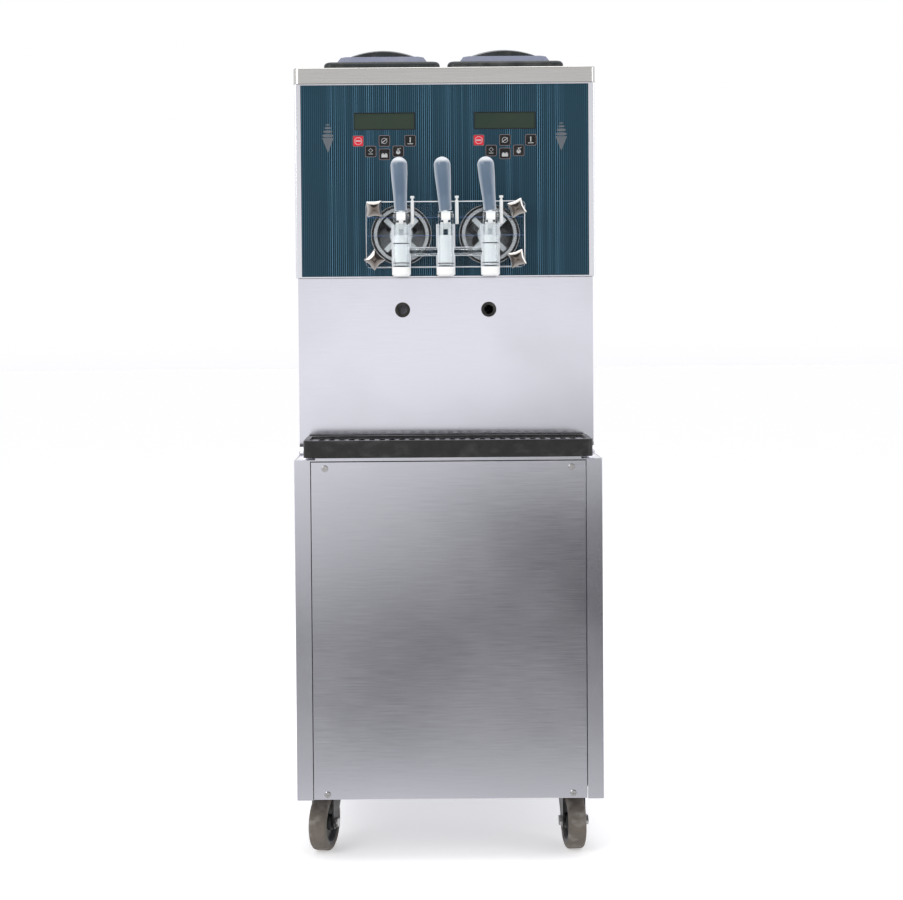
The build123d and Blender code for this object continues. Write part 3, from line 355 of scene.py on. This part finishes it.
def moulded(name, colour, fleck_colour, rough, pitch=900.0, bump=0.15, dust=0.1, specular=0.25):
    """Moulded plastic or enamel: fine pebbling, flecks and a little dust in the hollows."""
    plastic = Shader(name)
    skin = plastic.use(grain, Pitch=pitch)
    marks = plastic.use(wear, Size=6.0)
    tone = plastic.blend(plastic.maths("MULTIPLY", skin.outputs["Fleck"], 0.5), colour, fleck_colour)
    tone = plastic.blend(plastic.maths("MULTIPLY", marks.outputs["Dust"], dust), tone, (0.45, 0.43, 0.4, 1))
    plastic.join(tone, plastic.skin.inputs["Base Color"])
    plastic.join(
        plastic.maths("ADD", plastic.maths("MULTIPLY", marks.outputs["Smudge"], 0.12), rough),
        plastic.skin.inputs["Roughness"],
    )
    plastic.bump(skin.outputs["Height"], bump, 0.00015)
    plastic.skin.inputs["Specular IOR Level"].default_value = specular
    return plastic.material


def dress(material, *names):
    """Give CAD nodes their finished material."""
    for name in names:
        for slot in nodes[name].material_slots:
            slot.material = material


# ---- Sheet-steel cabinet -------------------------------------------------------------------
# Side panels, front panel, rear panel, deck and splash panel are folded from satin stainless
# sheet and brushed along their length; each hangs on screws or folded hooks on the frame.
panel_steel = brushed_steel("panel_steel", (0.70, 0.70, 0.75, 1), (0.63, 0.63, 0.68, 1), 0.10, "x", 0.0, 0.008)
side_steel = brushed_steel("side_steel", (0.70, 0.70, 0.75, 1), (0.64, 0.64, 0.69, 1), 0.12, "y", 0.0, 0.008)
dress(panel_steel, "front_panel", "rear_panel", "deck", "splash_panel", "base_plate")
dress(side_steel, "side_panels")
worktop_steel = brushed_steel(
    "worktop_steel", (0.62, 0.61, 0.58, 1), (0.54, 0.53, 0.50, 1), 0.16, "x", 0.0, 0.012
)
dress(worktop_steel, "top_plate")
edge_steel = brushed_steel("edge_steel", (0.78, 0.78, 0.81, 1), (0.7, 0.7, 0.74, 1), 0.14, "z", 0.3, 0.03)
dress(edge_steel, "fascia_housing")
food_steel = brushed_steel("food_steel", (0.62, 0.61, 0.6, 1), (0.5, 0.49, 0.48, 1), 0.2, "x")
dress(food_steel, "hoppers", "freezing_cylinders")
fastener = brushed_steel("bright_fastener", (0.62, 0.61, 0.6, 1), (0.45, 0.44, 0.42, 1), 0.2, "z", 0.0)
dress(fastener, "panel_screws", "door_studs", "pivot_pins")

# ---- Parts inside the cabinet --------------------------------------------------------------
# Frame of square tube, compressor in black enamel, finned condenser, cast motors and a plain
# zinc-plated electrical box. They show only through the louvres and from below.
frame_metal = brushed_steel("frame_tube", (0.5, 0.5, 0.5, 1), (0.4, 0.4, 0.4, 1), 0.4, "z", 0.0)
dress(frame_metal, "frame", "electrical_box")
enamel = moulded("black_enamel", (0.012, 0.012, 0.013, 1), (0.03, 0.03, 0.03, 1), 0.3, 300, 0.2)
dress(enamel, "compressor")
cast_grey = moulded("cast_grey", (0.16, 0.165, 0.17, 1), (0.22, 0.22, 0.22, 1), 0.5, 250, 0.5)
dress(cast_grey, "motors")
# The wave bands draw the fins: the pale bands are the fins' own metal, and the near-black bands between them are
# painted shade in the gaps.
fins = Shader("condenser_fins")
fin_bands_and_gap_shade = fins.add("ShaderNodeTexWave", Scale=120.0)
fins.join(fins.place, fin_bands_and_gap_shade.inputs["Vector"])
fins.join(
    fins.blend(fin_bands_and_gap_shade.outputs["Fac"], (0.05, 0.05, 0.05, 1), (0.6, 0.6, 0.58, 1)), fins.skin.inputs["Base Color"]
)
fins.bump(fin_bands_and_gap_shade.outputs["Fac"], 0.8, 0.002).set(Metallic=1.0, Roughness=0.35)
dress(fins.material, "condenser")

# ---- Black mouldings -----------------------------------------------------------------------
# Lid rims and domes, drip chutes, fan and cable gland: injection-moulded black plastic with a
# fine pebbled skin. The tray is the same plastic, polished to a deep satin.
black_moulding = moulded("black_moulding", (0.026, 0.03, 0.03, 1), (0.045, 0.05, 0.05, 1), 0.32)
dress(black_moulding, "lid_rim_left", "lid_rim_right", "fan_blades", "cable_gland")
chute_black = moulded("chute_black", (0.02, 0.02, 0.018, 1), (0.04, 0.035, 0.03, 1), 0.38)
dress(chute_black, "drip_chutes")
tray_black = moulded("tray_black", (0.018, 0.018, 0.018, 1), (0.03, 0.03, 0.03, 1), 0.22, 1200, 0.05, 0.05)
dress(tray_black, "drip_tray")
grid_steel = brushed_steel("grid_steel", (0.8, 0.8, 0.84, 1), (0.68, 0.68, 0.72, 1), 0.13, "y", 0.2)
dress(grid_steel, "drip_grid")
lid_grey = moulded("lid_grey", (0.155, 0.17, 0.24, 1), (0.18, 0.19, 0.26, 1), 0.3, 700, 0.1)
dress(lid_grey, "lid_cover_left", "lid_cover_right")
dress(black_moulding, "lid_dome_left", "lid_dome_right")
seal_black = moulded("seal_black", (0.012, 0.012, 0.012, 1), (0.03, 0.03, 0.03, 1), 0.5)
dress(seal_black, "door_seals")

# ---- Fascia film ---------------------------------------------------------------------------
# A glossy printed film over the control housing: deep teal ground with fine vertical lines,
# light blue and black, that bunch and thin out across the width.
fascia = Shader("fascia_film")
across = fascia.add("ShaderNodeSeparateXYZ")
fascia.join(fascia.place, across.inputs[0])
line_pitch = 0.0036


def stripes(pitch, phase, width):
    """A mask of vertical lines: pitch and phase in metres, width as a share of the pitch."""
    run = fascia.maths("ADD", across.outputs["X"], phase)
    saw = fascia.maths("FRACT", fascia.maths("DIVIDE", run, pitch))
    return fascia.maths("LESS_THAN", saw, width)


def bunch(scale, low, high, offset):
    """Slow noise across the width that lets lines come and go in groups."""
    texture = fascia.add("ShaderNodeTexNoise", noise_dimensions="1D", Scale=scale, Detail=1.0)
    fascia.join(fascia.maths("ADD", across.outputs["X"], offset), texture.inputs["W"])
    return fascia.ramp(texture.outputs[0], low, high)


ground = (0.014, 0.038, 0.056, 1)
light_line = (0.11, 0.26, 0.38, 1)
dark_line = (0.004, 0.006, 0.008, 1)
strength = fascia.maths("MULTIPLY", bunch(90, 0.42, 0.62, 3.0), bunch(19, 0.36, 0.58, 5.0))
strength = fascia.maths("ADD", fascia.maths("MULTIPLY", strength, 0.8), 0.2)
dark_mask = fascia.maths("MULTIPLY", stripes(line_pitch, 1.0, 0.34), strength)
tone = fascia.blend(dark_mask, ground, dark_line)
bright_mask = fascia.maths("MULTIPLY", stripes(line_pitch, 1.0 + line_pitch * 0.45, 0.22), strength)
tone = fascia.blend(bright_mask, tone, light_line)
fascia.join(tone, fascia.skin.inputs["Base Color"])
film_marks = fascia.use(wear, Size=4.0)
fascia.join(
    fascia.maths("ADD", fascia.maths("MULTIPLY", film_marks.outputs["Smudge"], 0.08), 0.16),
    fascia.skin.inputs["Roughness"],
)
fascia.skin.inputs["Specular IOR Level"].default_value = 0.07
dress(fascia.material, "fascia_panel")

# ---- Displays and keys ---------------------------------------------------------------------
# Two unlit liquid-crystal windows and twelve membrane keys in the film: printed black with a
# thin warm grey outline and a white picture, the stop key of each group printed red.
glass_cover = Shader("display_window")
panes = glass_cover.use(wear, Size=9.0)
tone = glass_cover.blend(panes.outputs["Smudge"], (0.020, 0.036, 0.025, 1), (0.030, 0.042, 0.028, 1))
glass_cover.skin.inputs["Specular IOR Level"].default_value = 0.2
glass_cover.join(tone, glass_cover.skin.inputs["Base Color"])
glass_cover.join(
    glass_cover.maths("ADD", glass_cover.maths("MULTIPLY", panes.outputs["Smudge"], 0.05), 0.1),
    glass_cover.skin.inputs["Roughness"],
)
dress(glass_cover.material, "displays")
key_print = moulded("key_print", (0.008, 0.008, 0.009, 1), (0.016, 0.015, 0.015, 1), 0.25, 1500, 0.03, 0.03)
key_red = moulded("key_red", (0.62, 0.02, 0.04, 1), (0.55, 0.02, 0.035, 1), 0.25, 1500, 0.03, 0.02)
outline_grey = moulded("outline_grey", (0.25, 0.20, 0.20, 1), (0.2, 0.17, 0.17, 1), 0.35, 1500, 0.03, 0.0)
print_white = moulded("print_white", (0.46, 0.46, 0.46, 1), (0.38, 0.38, 0.38, 1), 0.4, 1500, 0.03, 0.0)
dress(key_print, "keypad")

# ---- Clear acrylic and white plastic -------------------------------------------------------
# The door and grips are cast or machined from clear acrylic, with polished edges; valves, caps
# and levers are white food-grade plastic, faintly yellowed where they are handled.


def clear_plastic(name, tint, rough, clearness, rim):
    """Clear plastic with a painted highlight at its grazing edges: a white diffuse skin mixed in by facing,
    standing for the white light polished acrylic gathers there.
    """
    clear = Shader(name)
    marks = clear.use(wear, Size=10.0)
    clear.join(
        clear.maths("ADD", clear.maths("MULTIPLY", marks.outputs["Smudge"], 0.02), rough),
        clear.skin.inputs["Roughness"],
    )
    clear.set(Base_Color=tint, IOR=1.49, Transmission_Weight=1.0)
    rays = clear.add("ShaderNodeLightPath")
    through = clear.add("ShaderNodeBsdfTransparent")
    through.inputs["Color"].default_value = (0.90, 0.92, 0.93, 1)
    # Painted highlight: white diffuse mixed in where the surface is seen edge-on.
    painted_edge_highlight = clear.add("ShaderNodeBsdfDiffuse")
    painted_edge_highlight.inputs["Color"].default_value = (0.9, 0.92, 0.95, 1)
    facing = clear.add("ShaderNodeLayerWeight", Blend=0.5)
    highlight_share = clear.ramp(facing.outputs["Facing"], 0.16, 0.75, rim)
    glass = clear.add("ShaderNodeMixShader")
    clear.join(highlight_share, glass.inputs[0])
    clear.join(clear.skin.outputs[0], glass.inputs[1]).join(painted_edge_highlight.outputs[0], glass.inputs[2])
    open_share = clear.maths("MULTIPLY", clear.maths("SUBTRACT", 1.0, highlight_share), clearness)
    open_share = clear.maths("MAXIMUM", rays.outputs["Is Shadow Ray"], open_share)
    mix = clear.add("ShaderNodeMixShader")
    clear.join(open_share, mix.inputs[0])
    clear.join(glass.outputs[0], mix.inputs[1]).join(through.outputs[0], mix.inputs[2])
    clear.join(mix.outputs[0], clear.tree.nodes["Material Output"].inputs["Surface"])
    return clear


door_acrylic = clear_plastic("door_acrylic", (0.97, 0.985, 1.0, 1), 0.02, 0.85, 0.85).material
grips = clear_plastic("grip_acrylic", (0.50, 0.66, 0.86, 1), 0.05, 0.18, 0.5)
grips.set(Transmission_Weight=0.35)
# Painted highlight: the grips' colour turns near white over their top few millimetres, standing for the light
# caught in the round crown.
crown_low, crown_high = 1.2325, 1.2385
heights = grips.add("ShaderNodeSeparateXYZ")
grips.join(grips.place, heights.inputs[0])
painted_crown_highlight = grips.ramp(heights.outputs["Z"], crown_low, crown_high)
grips.join(grips.blend(painted_crown_highlight, (0.17, 0.23, 0.31, 1), (0.9, 0.92, 0.95, 1)), grips.skin.inputs["Base Color"])
grip_acrylic = grips.material
dress(door_acrylic, "door_block")
valve_names = ("left", "centre", "right")
dress(grip_acrylic, *[f"grip_{name}" for name in valve_names])
white_plastic = moulded("white_plastic", (0.86, 0.86, 0.85, 1), (0.82, 0.81, 0.77, 1), 0.35, 800, 0.04, 0.04)
dress(white_plastic, "nozzle_caps", "flow_adjusters", "beater_left", "beater_right")
dress(white_plastic, *[f"{part}_{name}" for name in valve_names for part in ("lever", "plunger")])

# ---- Hand nuts -----------------------------------------------------------------------------
# Four-pointed nuts, cast in steel and polished, that hold the door on its studs. Each is a star
# with hollow sides, rounded tips, a low pyramid of facets in front and a deep socket behind.
polish = Shader("knob_polish_and_sheen")
polish_marks = polish.use(wear, Size=8.0)
# Painted highlight: the colour runs from dark brown face-on to near white at grazing edges, standing for the sheen
# of the polished steel.
sheen_facing = polish.add("ShaderNodeLayerWeight", Blend=0.5)
painted_edge_sheen = polish.ramp(sheen_facing.outputs["Facing"], 0.02, 0.42)
polish.join(
    polish.blend(painted_edge_sheen, (0.17, 0.145, 0.125, 1), (0.86, 0.84, 0.82, 1)), polish.skin.inputs["Base Color"]
)
polish.join(
    polish.maths("ADD", polish.maths("MULTIPLY", polish_marks.outputs["Smudge"], 0.1), 0.06),
    polish.skin.inputs["Roughness"],
)
knob_polish_and_sheen = polish.set(Metallic=1.0).material
knob_turns = {"lower_left": 45, "upper_left": 3, "lower_right": 17, "upper_right": 22}
knob_tip, knob_waist = 0.0200, 0.0122       # radius at the points and at the hollows
knob_wall, knob_socket = 0.0130, 0.0125     # height of the star and depth of its socket
for corner, turn in knob_turns.items():
    low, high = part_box(f"knob_{corner}")
    middle = (low + high) / 2
    star = bmesh.new()
    bmesh.ops.create_circle(star, cap_ends=True, segments=8, radius=knob_tip)
    for index, point in enumerate(star.verts):
        if index % 2:
            point.co *= knob_waist / knob_tip
    wall = bmesh.ops.extrude_face_region(star, geom=star.faces[:])
    front = [item for item in wall["geom"] if isinstance(item, bmesh.types.BMVert)]
    bmesh.ops.translate(star, vec=(0, 0, knob_wall), verts=front)
    uprights = [edge for edge in star.edges if abs(edge.verts[0].co.z - edge.verts[1].co.z) > 0.01
                and edge.verts[0].co.xy.length > 0.015]
    bmesh.ops.bevel(star, geom=uprights, offset=0.0022, segments=4, profile=0.5, affect="EDGES", material=-1)
    bmesh.ops.recalc_face_normals(star, faces=star.faces)
    ends = sorted(star.faces, key=lambda face: face.calc_center_median().z)
    back, crest = ends[0], ends[-1]
    bmesh.ops.inset_individual(star, faces=[back], thickness=0.0045)
    bmesh.ops.translate(star, vec=(0, 0, knob_socket), verts=back.verts)
    bmesh.ops.inset_individual(star, faces=[crest], thickness=0.0013, depth=0.0012)
    bmesh.ops.poke(star, faces=[crest], offset=0.0054)
    facing_out = Matrix.Rotation(math.radians(-turn - 45), 4, "Y") @ Matrix.Rotation(math.pi / 2, 4, "X")
    seat = Matrix.Translation((middle.x, high.y - 0.0001, middle.z))
    bmesh.ops.transform(star, matrix=seat @ facing_out, verts=star.verts)
    bmesh.ops.recalc_face_normals(star, faces=star.faces)
    nut = to_object(f"hand_nut_{corner}", star, knob_polish_and_sheen, 25)
    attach(nut, f"knob_{corner}")
    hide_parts(f"knob_{corner}")

# ---- Casters -------------------------------------------------------------------------------
# Swivel forks pressed from black-painted steel and wheels with a dusty grey-brown rubber tread.
caster_paint = moulded("caster_paint", (0.018, 0.018, 0.02, 1), (0.05, 0.045, 0.04, 1), 0.3, 400, 0.1, 0.15)
tread = moulded("tread_rubber", (0.13, 0.112, 0.095, 1), (0.19, 0.165, 0.14, 1), 0.7, 350, 0.6, 0.4)
caster_names = ("front_left", "front_right", "rear_left", "rear_right")
dress(caster_paint, "caster_plates", *[f"caster_fork_{name}" for name in caster_names])
dress(tread, *[f"caster_wheel_{name}" for name in caster_names])

# ---- Grips ---------------------------------------------------------------------------------
# Clear handles that swell towards a round crown, each leaning a little to its left. Every round
# piece here is spun from its half section, as it would be on a lathe.


def turned(name, section, place, material, steps=48, smooth=35.0):
    """Spin a half section of (radius, height) points about the local Z axis, then place it."""
    bm = bmesh.new()
    points = [bm.verts.new((radius, 0, height)) for radius, height in section]
    edges = [bm.edges.new(pair) for pair in zip(points, points[1:])]
    bmesh.ops.spin(
        bm, geom=points + edges, cent=(0, 0, 0), axis=(0, 0, 1), angle=math.tau, steps=steps, use_merge=True
    )
    bmesh.ops.remove_doubles(bm, verts=bm.verts, dist=1e-6)
    bmesh.ops.recalc_face_normals(bm, faces=bm.faces)
    bmesh.ops.transform(bm, matrix=place, verts=bm.verts)
    return to_object(name, bm, material, smooth)


def standing(point, direction):
    """Matrix that puts local Z along a direction, with its origin at a point."""
    return Matrix.Translation(point) @ Vector(direction).to_track_quat("Z", "Y").to_matrix().to_4x4()


joints = {joint["name"]: joint for joint in frame["joints"]}
grip_lean = {"left": 1.8, "centre": 3.8, "right": 5.4}
grip_start, grip_end = 0.0093, 0.1048
grip_foot, grip_head = 0.0113, 0.0149
grip_bore, grip_bore_end = 0.0036, 0.0372   # the hole that takes the lever's stud
for name in valve_names:
    pivot = Vector(joints[f"handle_pull_{name}"]["pos_m"])
    lean = Vector((-math.sin(math.radians(grip_lean[name])), -math.sin(math.radians(4)), 1)).normalized()
    section = [(grip_bore, grip_start), (grip_foot - 0.0012, grip_start), (grip_foot, grip_start + 0.0012)]
    rise = grip_end - grip_head - grip_start
    for step in range(1, 13):
        share = step / 12
        swell = share * share * (3 - 2 * share)
        section.append((grip_foot + (grip_head - grip_foot) * swell, grip_start + rise * (0.02 + 0.98 * share)))
    for step in range(1, 12):
        turn = math.pi / 2 * step / 12
        section.append((grip_head * math.cos(turn), grip_end - grip_head + grip_head * math.sin(turn)))
    section += [(0.0, grip_end), (0.0, grip_bore_end), (grip_bore, grip_bore_end), (grip_bore, grip_start)]
    grip = turned(f"grip_handle_{name}", section, standing(pivot, lean), grip_acrylic, 64, 50)
    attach(grip, f"handle_{name}")
    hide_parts(f"grip_{name}")

# ---- Valve seals ---------------------------------------------------------------------------
# Two black O-rings in each outer plunger, and one low down on the centre one.
plunger_radius = 0.0145
seal_sink, seal_r, seal_half_height = 0.0005, 0.00095, 0.0011
outer_seals, centre_seal = (1.0915, 1.0565), (1.0555,)
for name in valve_names:
    low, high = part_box(f"plunger_{name}")
    middle = (low + high) / 2
    for level in centre_seal if name == "centre" else outer_seals:
        ring = [(plunger_radius - seal_sink + seal_r * math.cos(a), seal_half_height * math.sin(a))
                for a in [math.tau * k / 12 for k in range(13)]]
        seal = turned(f"valve_seal_{name}_{round(level * 1000)}", ring,
                      Matrix.Translation((middle.x, middle.y, level)), seal_black, 48)
        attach(seal, f"valve_{name}")

# ---- Printed marks on the fascia -----------------------------------------------------------
# Key outlines, key pictures, display borders and two plain cone-and-swirl motifs, all raised a
# fraction of a millimetre like thick screen print.
film_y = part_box("fascia_panel")[0].y
key_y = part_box("keypad")[0].y
print_height = 0.00012


def print_shape(name, build, plane_y, material, body="cabinet"):
    """Draw flat shapes in X and Z, then raise them off the plane as thin ink."""
    bm = bmesh.new()
    build(bm)
    lift = bmesh.ops.extrude_face_region(bm, geom=bm.faces[:])
    top = [item for item in lift["geom"] if isinstance(item, bmesh.types.BMVert)]
    bmesh.ops.translate(bm, vec=(0, -print_height, 0), verts=top)
    bmesh.ops.translate(bm, vec=(0, plane_y + 0.00002, 0), verts=bm.verts)
    bmesh.ops.recalc_face_normals(bm, faces=bm.faces)
    piece = to_object(name, bm, material, smooth=0)
    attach(piece, body)


def upright(x, z, turn=0.0):
    return Matrix.Translation((x, 0, z)) @ Matrix.Rotation(turn, 4, "Y") @ Matrix.Rotation(math.pi / 2, 4, "X")


def bar(bm, x, z, width, height, turn=0.0):
    made = bmesh.ops.create_grid(bm, x_segments=1, y_segments=1, size=0.5)
    bmesh.ops.scale(bm, vec=(width, height, 1), verts=made["verts"])
    bmesh.ops.transform(bm, matrix=upright(x, z, turn), verts=made["verts"])


def disc(bm, x, z, radius, sides=24, squash=1.0):
    made = bmesh.ops.create_circle(bm, cap_ends=True, segments=sides, radius=radius)
    bmesh.ops.scale(bm, vec=(1, squash, 1), verts=made["verts"])
    bmesh.ops.transform(bm, matrix=upright(x, z), verts=made["verts"])
    return made["verts"]


def hoop(bm, x, z, radius, width, sides=24, turn=0.0):
    made = bmesh.ops.create_circle(bm, cap_ends=True, segments=sides, radius=radius)
    face = made["verts"][0].link_faces[0]
    ring = bmesh.ops.inset_individual(bm, faces=[face], thickness=width)["faces"]
    bmesh.ops.delete(bm, geom=[face], context="FACES_ONLY")
    bmesh.ops.transform(bm, matrix=upright(x, z, turn), verts=list({v for f in ring for v in f.verts}))


def frame_line(bm, x, z, width, height, line, corner):
    made = bmesh.ops.create_grid(bm, x_segments=1, y_segments=1, size=0.5)
    bmesh.ops.scale(bm, vec=(width, height, 1), verts=made["verts"])
    bent = bmesh.ops.bevel(
        bm, geom=made["verts"], offset=corner, segments=5, profile=0.5, affect="VERTICES", material=-1
    )
    face = max({f for v in bent["verts"] for f in v.link_faces}, key=lambda f: f.calc_area())
    ring = bmesh.ops.inset_individual(bm, faces=[face], thickness=line)["faces"]
    around = {v for f in ring for v in f.verts}
    bmesh.ops.delete(bm, geom=[face], context="FACES_ONLY")
    bmesh.ops.transform(bm, matrix=upright(x, z), verts=list(around))


key_size = 0.0184
group_x = 0.1095
rows = (1.2800, 1.2610, 1.2557)
stops = [(side * group_x - 0.0475, rows[0]) for side in (-1, 1)]
spots = ((0, rows[0]), (0.047, rows[0]), (-0.025, rows[1]), (0.025, rows[1]), (0, rows[2]))
plain = [(side * group_x + dx, z) for side in (-1, 1) for dx, z in spots]


def draw_stop(bm, x, z):
    hoop(bm, x, z, 0.0072, 0.0009, 8, math.pi / 8)
    bar(bm, x, z, 0.0092, 0.0022)


def draw_cross(bm, x, z):
    hoop(bm, x, z, 0.0052, 0.0008, 20)
    bar(bm, x, z, 0.0135, 0.0011, math.radians(-38))


def draw_gauge(bm, x, z):
    disc(bm, x, z + 0.0045, 0.0013, 12)
    bar(bm, x, z - 0.0002, 0.0018, 0.0062)
    bar(bm, x, z - 0.0056, 0.0100, 0.0012)


def draw_rinse(bm, x, z):
    hoop(bm, x, z + 0.0018, 0.0042, 0.0008, 4)
    bar(bm, x, z - 0.0045, 0.0082, 0.0010)


def draw_drop(bm, x, z):
    disc(bm, x, z - 0.0016, 0.0038, 20)
    bar(bm, x, z + 0.0020, 0.0024, 0.0060)
    bar(bm, x + 0.0034, z + 0.0048, 0.0034, 0.0010, math.radians(-30))


def draw_level(bm, x, z):
    bar(bm, x, z - 0.0028, 0.0110, 0.0058)
    bar(bm, x - 0.0028, z + 0.0010, 0.0030, 0.0014)
    bar(bm, x + 0.0028, z + 0.0010, 0.0030, 0.0014)


pictures = (draw_cross, draw_gauge, draw_rinse, draw_drop, draw_level)


def all_pictures(bm):
    for x, z in stops:
        draw_stop(bm, x, z)
    for index, (x, z) in enumerate(plain):
        pictures[index % 5](bm, x, z)


def all_outlines(bm):
    for x, z in stops + plain:
        frame_line(bm, x, z, key_size + 0.0018, key_size + 0.0018, 0.0007, 0.0028)


def red_faces(bm):
    for x, z in stops:
        bar(bm, x, z, key_size - 0.0012, key_size - 0.0012)


print_shape("key_outlines", all_outlines, film_y, outline_grey)
print_shape("stop_key_red", red_faces, key_y, key_red)
print_shape("key_pictures", all_pictures, key_y - print_height, print_white)


def borders(bm):
    low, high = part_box("displays")
    width, height = 0.109 + 0.003, high.z - low.z + 0.003
    for side in (-1, 1):
        frame_line(bm, side * group_x, (low.z + high.z) / 2, width, height, 0.0015, 0.0012)


print_shape("display_borders", borders, film_y, key_print)

motif_grey = moulded("motif_grey", (0.10, 0.115, 0.13, 1), (0.14, 0.15, 0.16, 1), 0.35, 1500, 0.02, 0.0)
motif_x = 0.212
cone_half, cone_top, cone_tip = 0.0105, 1.2862, 1.2595


def cone_motifs(bm):
    for side in (-1, 1):
        x = side * motif_x
        cone = sorted(disc(bm, x, cone_top, cone_half, 3), key=lambda corner: corner.co.x)
        corners = ((x - cone_half, cone_top), (x, cone_tip), (x + cone_half, cone_top))
        for vertex, (corner_x, corner_z) in zip(cone, corners):
            vertex.co.x, vertex.co.z = corner_x, corner_z
        for level, radius in ((1.2902, 0.0102), (1.2975, 0.0084), (1.3041, 0.0062), (1.3098, 0.0040)):
            disc(bm, x, level, radius, 28, 0.30)


print_shape("cone_motifs", cone_motifs, film_y, motif_grey)

# ---- Lines on the door ---------------------------------------------------------------------
# Two fine blue lines across the face of the clear door plate, and thin white strips along its
# polished edges that are a painted highlight, strongest along the top and right.
door_low, door_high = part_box("door_block")
plate_thick = 0.024
door_face = door_high.y - plate_thick
line_blue = moulded("line_blue", (0.16, 0.26, 0.52, 1), (0.2, 0.3, 0.55, 1), 0.3, 1500, 0.0, 0.0)
line_blue.node_tree.nodes["Principled BSDF"].inputs["Alpha"].default_value = 0.55


def blue_lines(bm):
    for z in (1.1389, 1.1063):
        bar(bm, 0, z, 0.282, 0.0008)


print_shape("door_lines", blue_lines, door_face, line_blue, "door")
# Painted highlight: pale strips laid on the door plate's edges, standing for the light its polished edges catch.
strip_highlight_white = moulded("strip_highlight_white", (0.78, 0.80, 0.82, 1), (0.6, 0.62, 0.64, 1), 0.2, 900, 0.05, 0.0, 0.5)


def painted_edge_strips(bm):
    middle = (door_low.z + door_high.z) / 2
    bar(bm, 0, door_high.z - 0.0010, 0.270, 0.0018)
    bar(bm, door_high.x - 0.0015, middle, 0.0014, 0.102)
    bar(bm, door_low.x + 0.0012, middle, 0.0006, 0.102)
    bar(bm, 0, door_low.z + 0.0010, 0.262, 0.0010)


print_shape("door_edge_light", painted_edge_strips, door_face, strip_highlight_white, "door")

# ---- Wheels --------------------------------------------------------------------------------
# Each wheel is a dusty rubber tyre bonded to a black core with a stepped web and bearing boss.
# A bearing race sits under each caster's plate, and a bright nut on each end of its axle.
core_black = moulded("core_black", (0.02, 0.021, 0.022, 1), (0.05, 0.05, 0.05, 1), 0.35, 500, 0.1, 0.12)
wheel_r, wheel_half = 0.05, 0.016
core_r = 0.0385
race_section = [
    (0.0, 0.1196), (0.0285, 0.1196), (0.0305, 0.1215), (0.0305, 0.1228), (0.0285, 0.1242), (0.0, 0.1242),
]
nut_section = [(0.0, 0.0268), (0.0078, 0.0268), (0.0092, 0.0258), (0.0092, 0.0206), (0.0, 0.0206)]
for name in caster_names:
    joint = joints[f"wheel_roll_{name}"]
    place = standing(joint["pos_m"], joint["axis"])
    shoulder = [(wheel_r - 0.006 * (1 - math.sin(a)), wheel_half - 0.006 * (1 - math.cos(a)))
                for a in [math.pi / 2 * k / 6 for k in range(7)]]
    half_tyre = [(core_r, wheel_half - 0.001), (wheel_r - 0.010, wheel_half)] + shoulder
    tyre_section = half_tyre + [(r, -h) for r, h in reversed(half_tyre)] + [half_tyre[0]]
    tyre = turned(f"tyre_{name}", tyre_section, place, tread, 72, 40)
    half_core = [(0.0052, wheel_half - 0.0005), (0.0125, wheel_half - 0.0005), (0.0135, wheel_half - 0.0015),
                 (0.0145, 0.009), (0.030, 0.0075), (0.033, 0.013), (0.0345, wheel_half - 0.0012),
                 (core_r, wheel_half - 0.0012)]
    core_section = half_core + [(r, -h) for r, h in reversed(half_core)] + [half_core[0]]
    core = turned(f"wheel_core_{name}", core_section, place, core_black, 72, 40)
    for piece in (tyre, core):
        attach(piece, f"wheel_{name}")
    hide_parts(f"caster_wheel_{name}")
    kingpin = Vector(joints[f"swivel_{name}"]["pos_m"])
    under_plate = Matrix.Translation((kingpin.x, kingpin.y, 0))
    race = turned(f"caster_race_{name}", race_section, under_plate, fastener, 48)
    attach(race, f"caster_{name}")
    for end in (-1, 1):
        nut_place = standing(joint["pos_m"], Vector(joint["axis"]) * end)
        side = "outer" if end > 0 else "inner"
        nut = turned(f"axle_nut_{name}_{side}", nut_section, nut_place, fastener, 6, 20)
        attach(nut, f"caster_{name}")
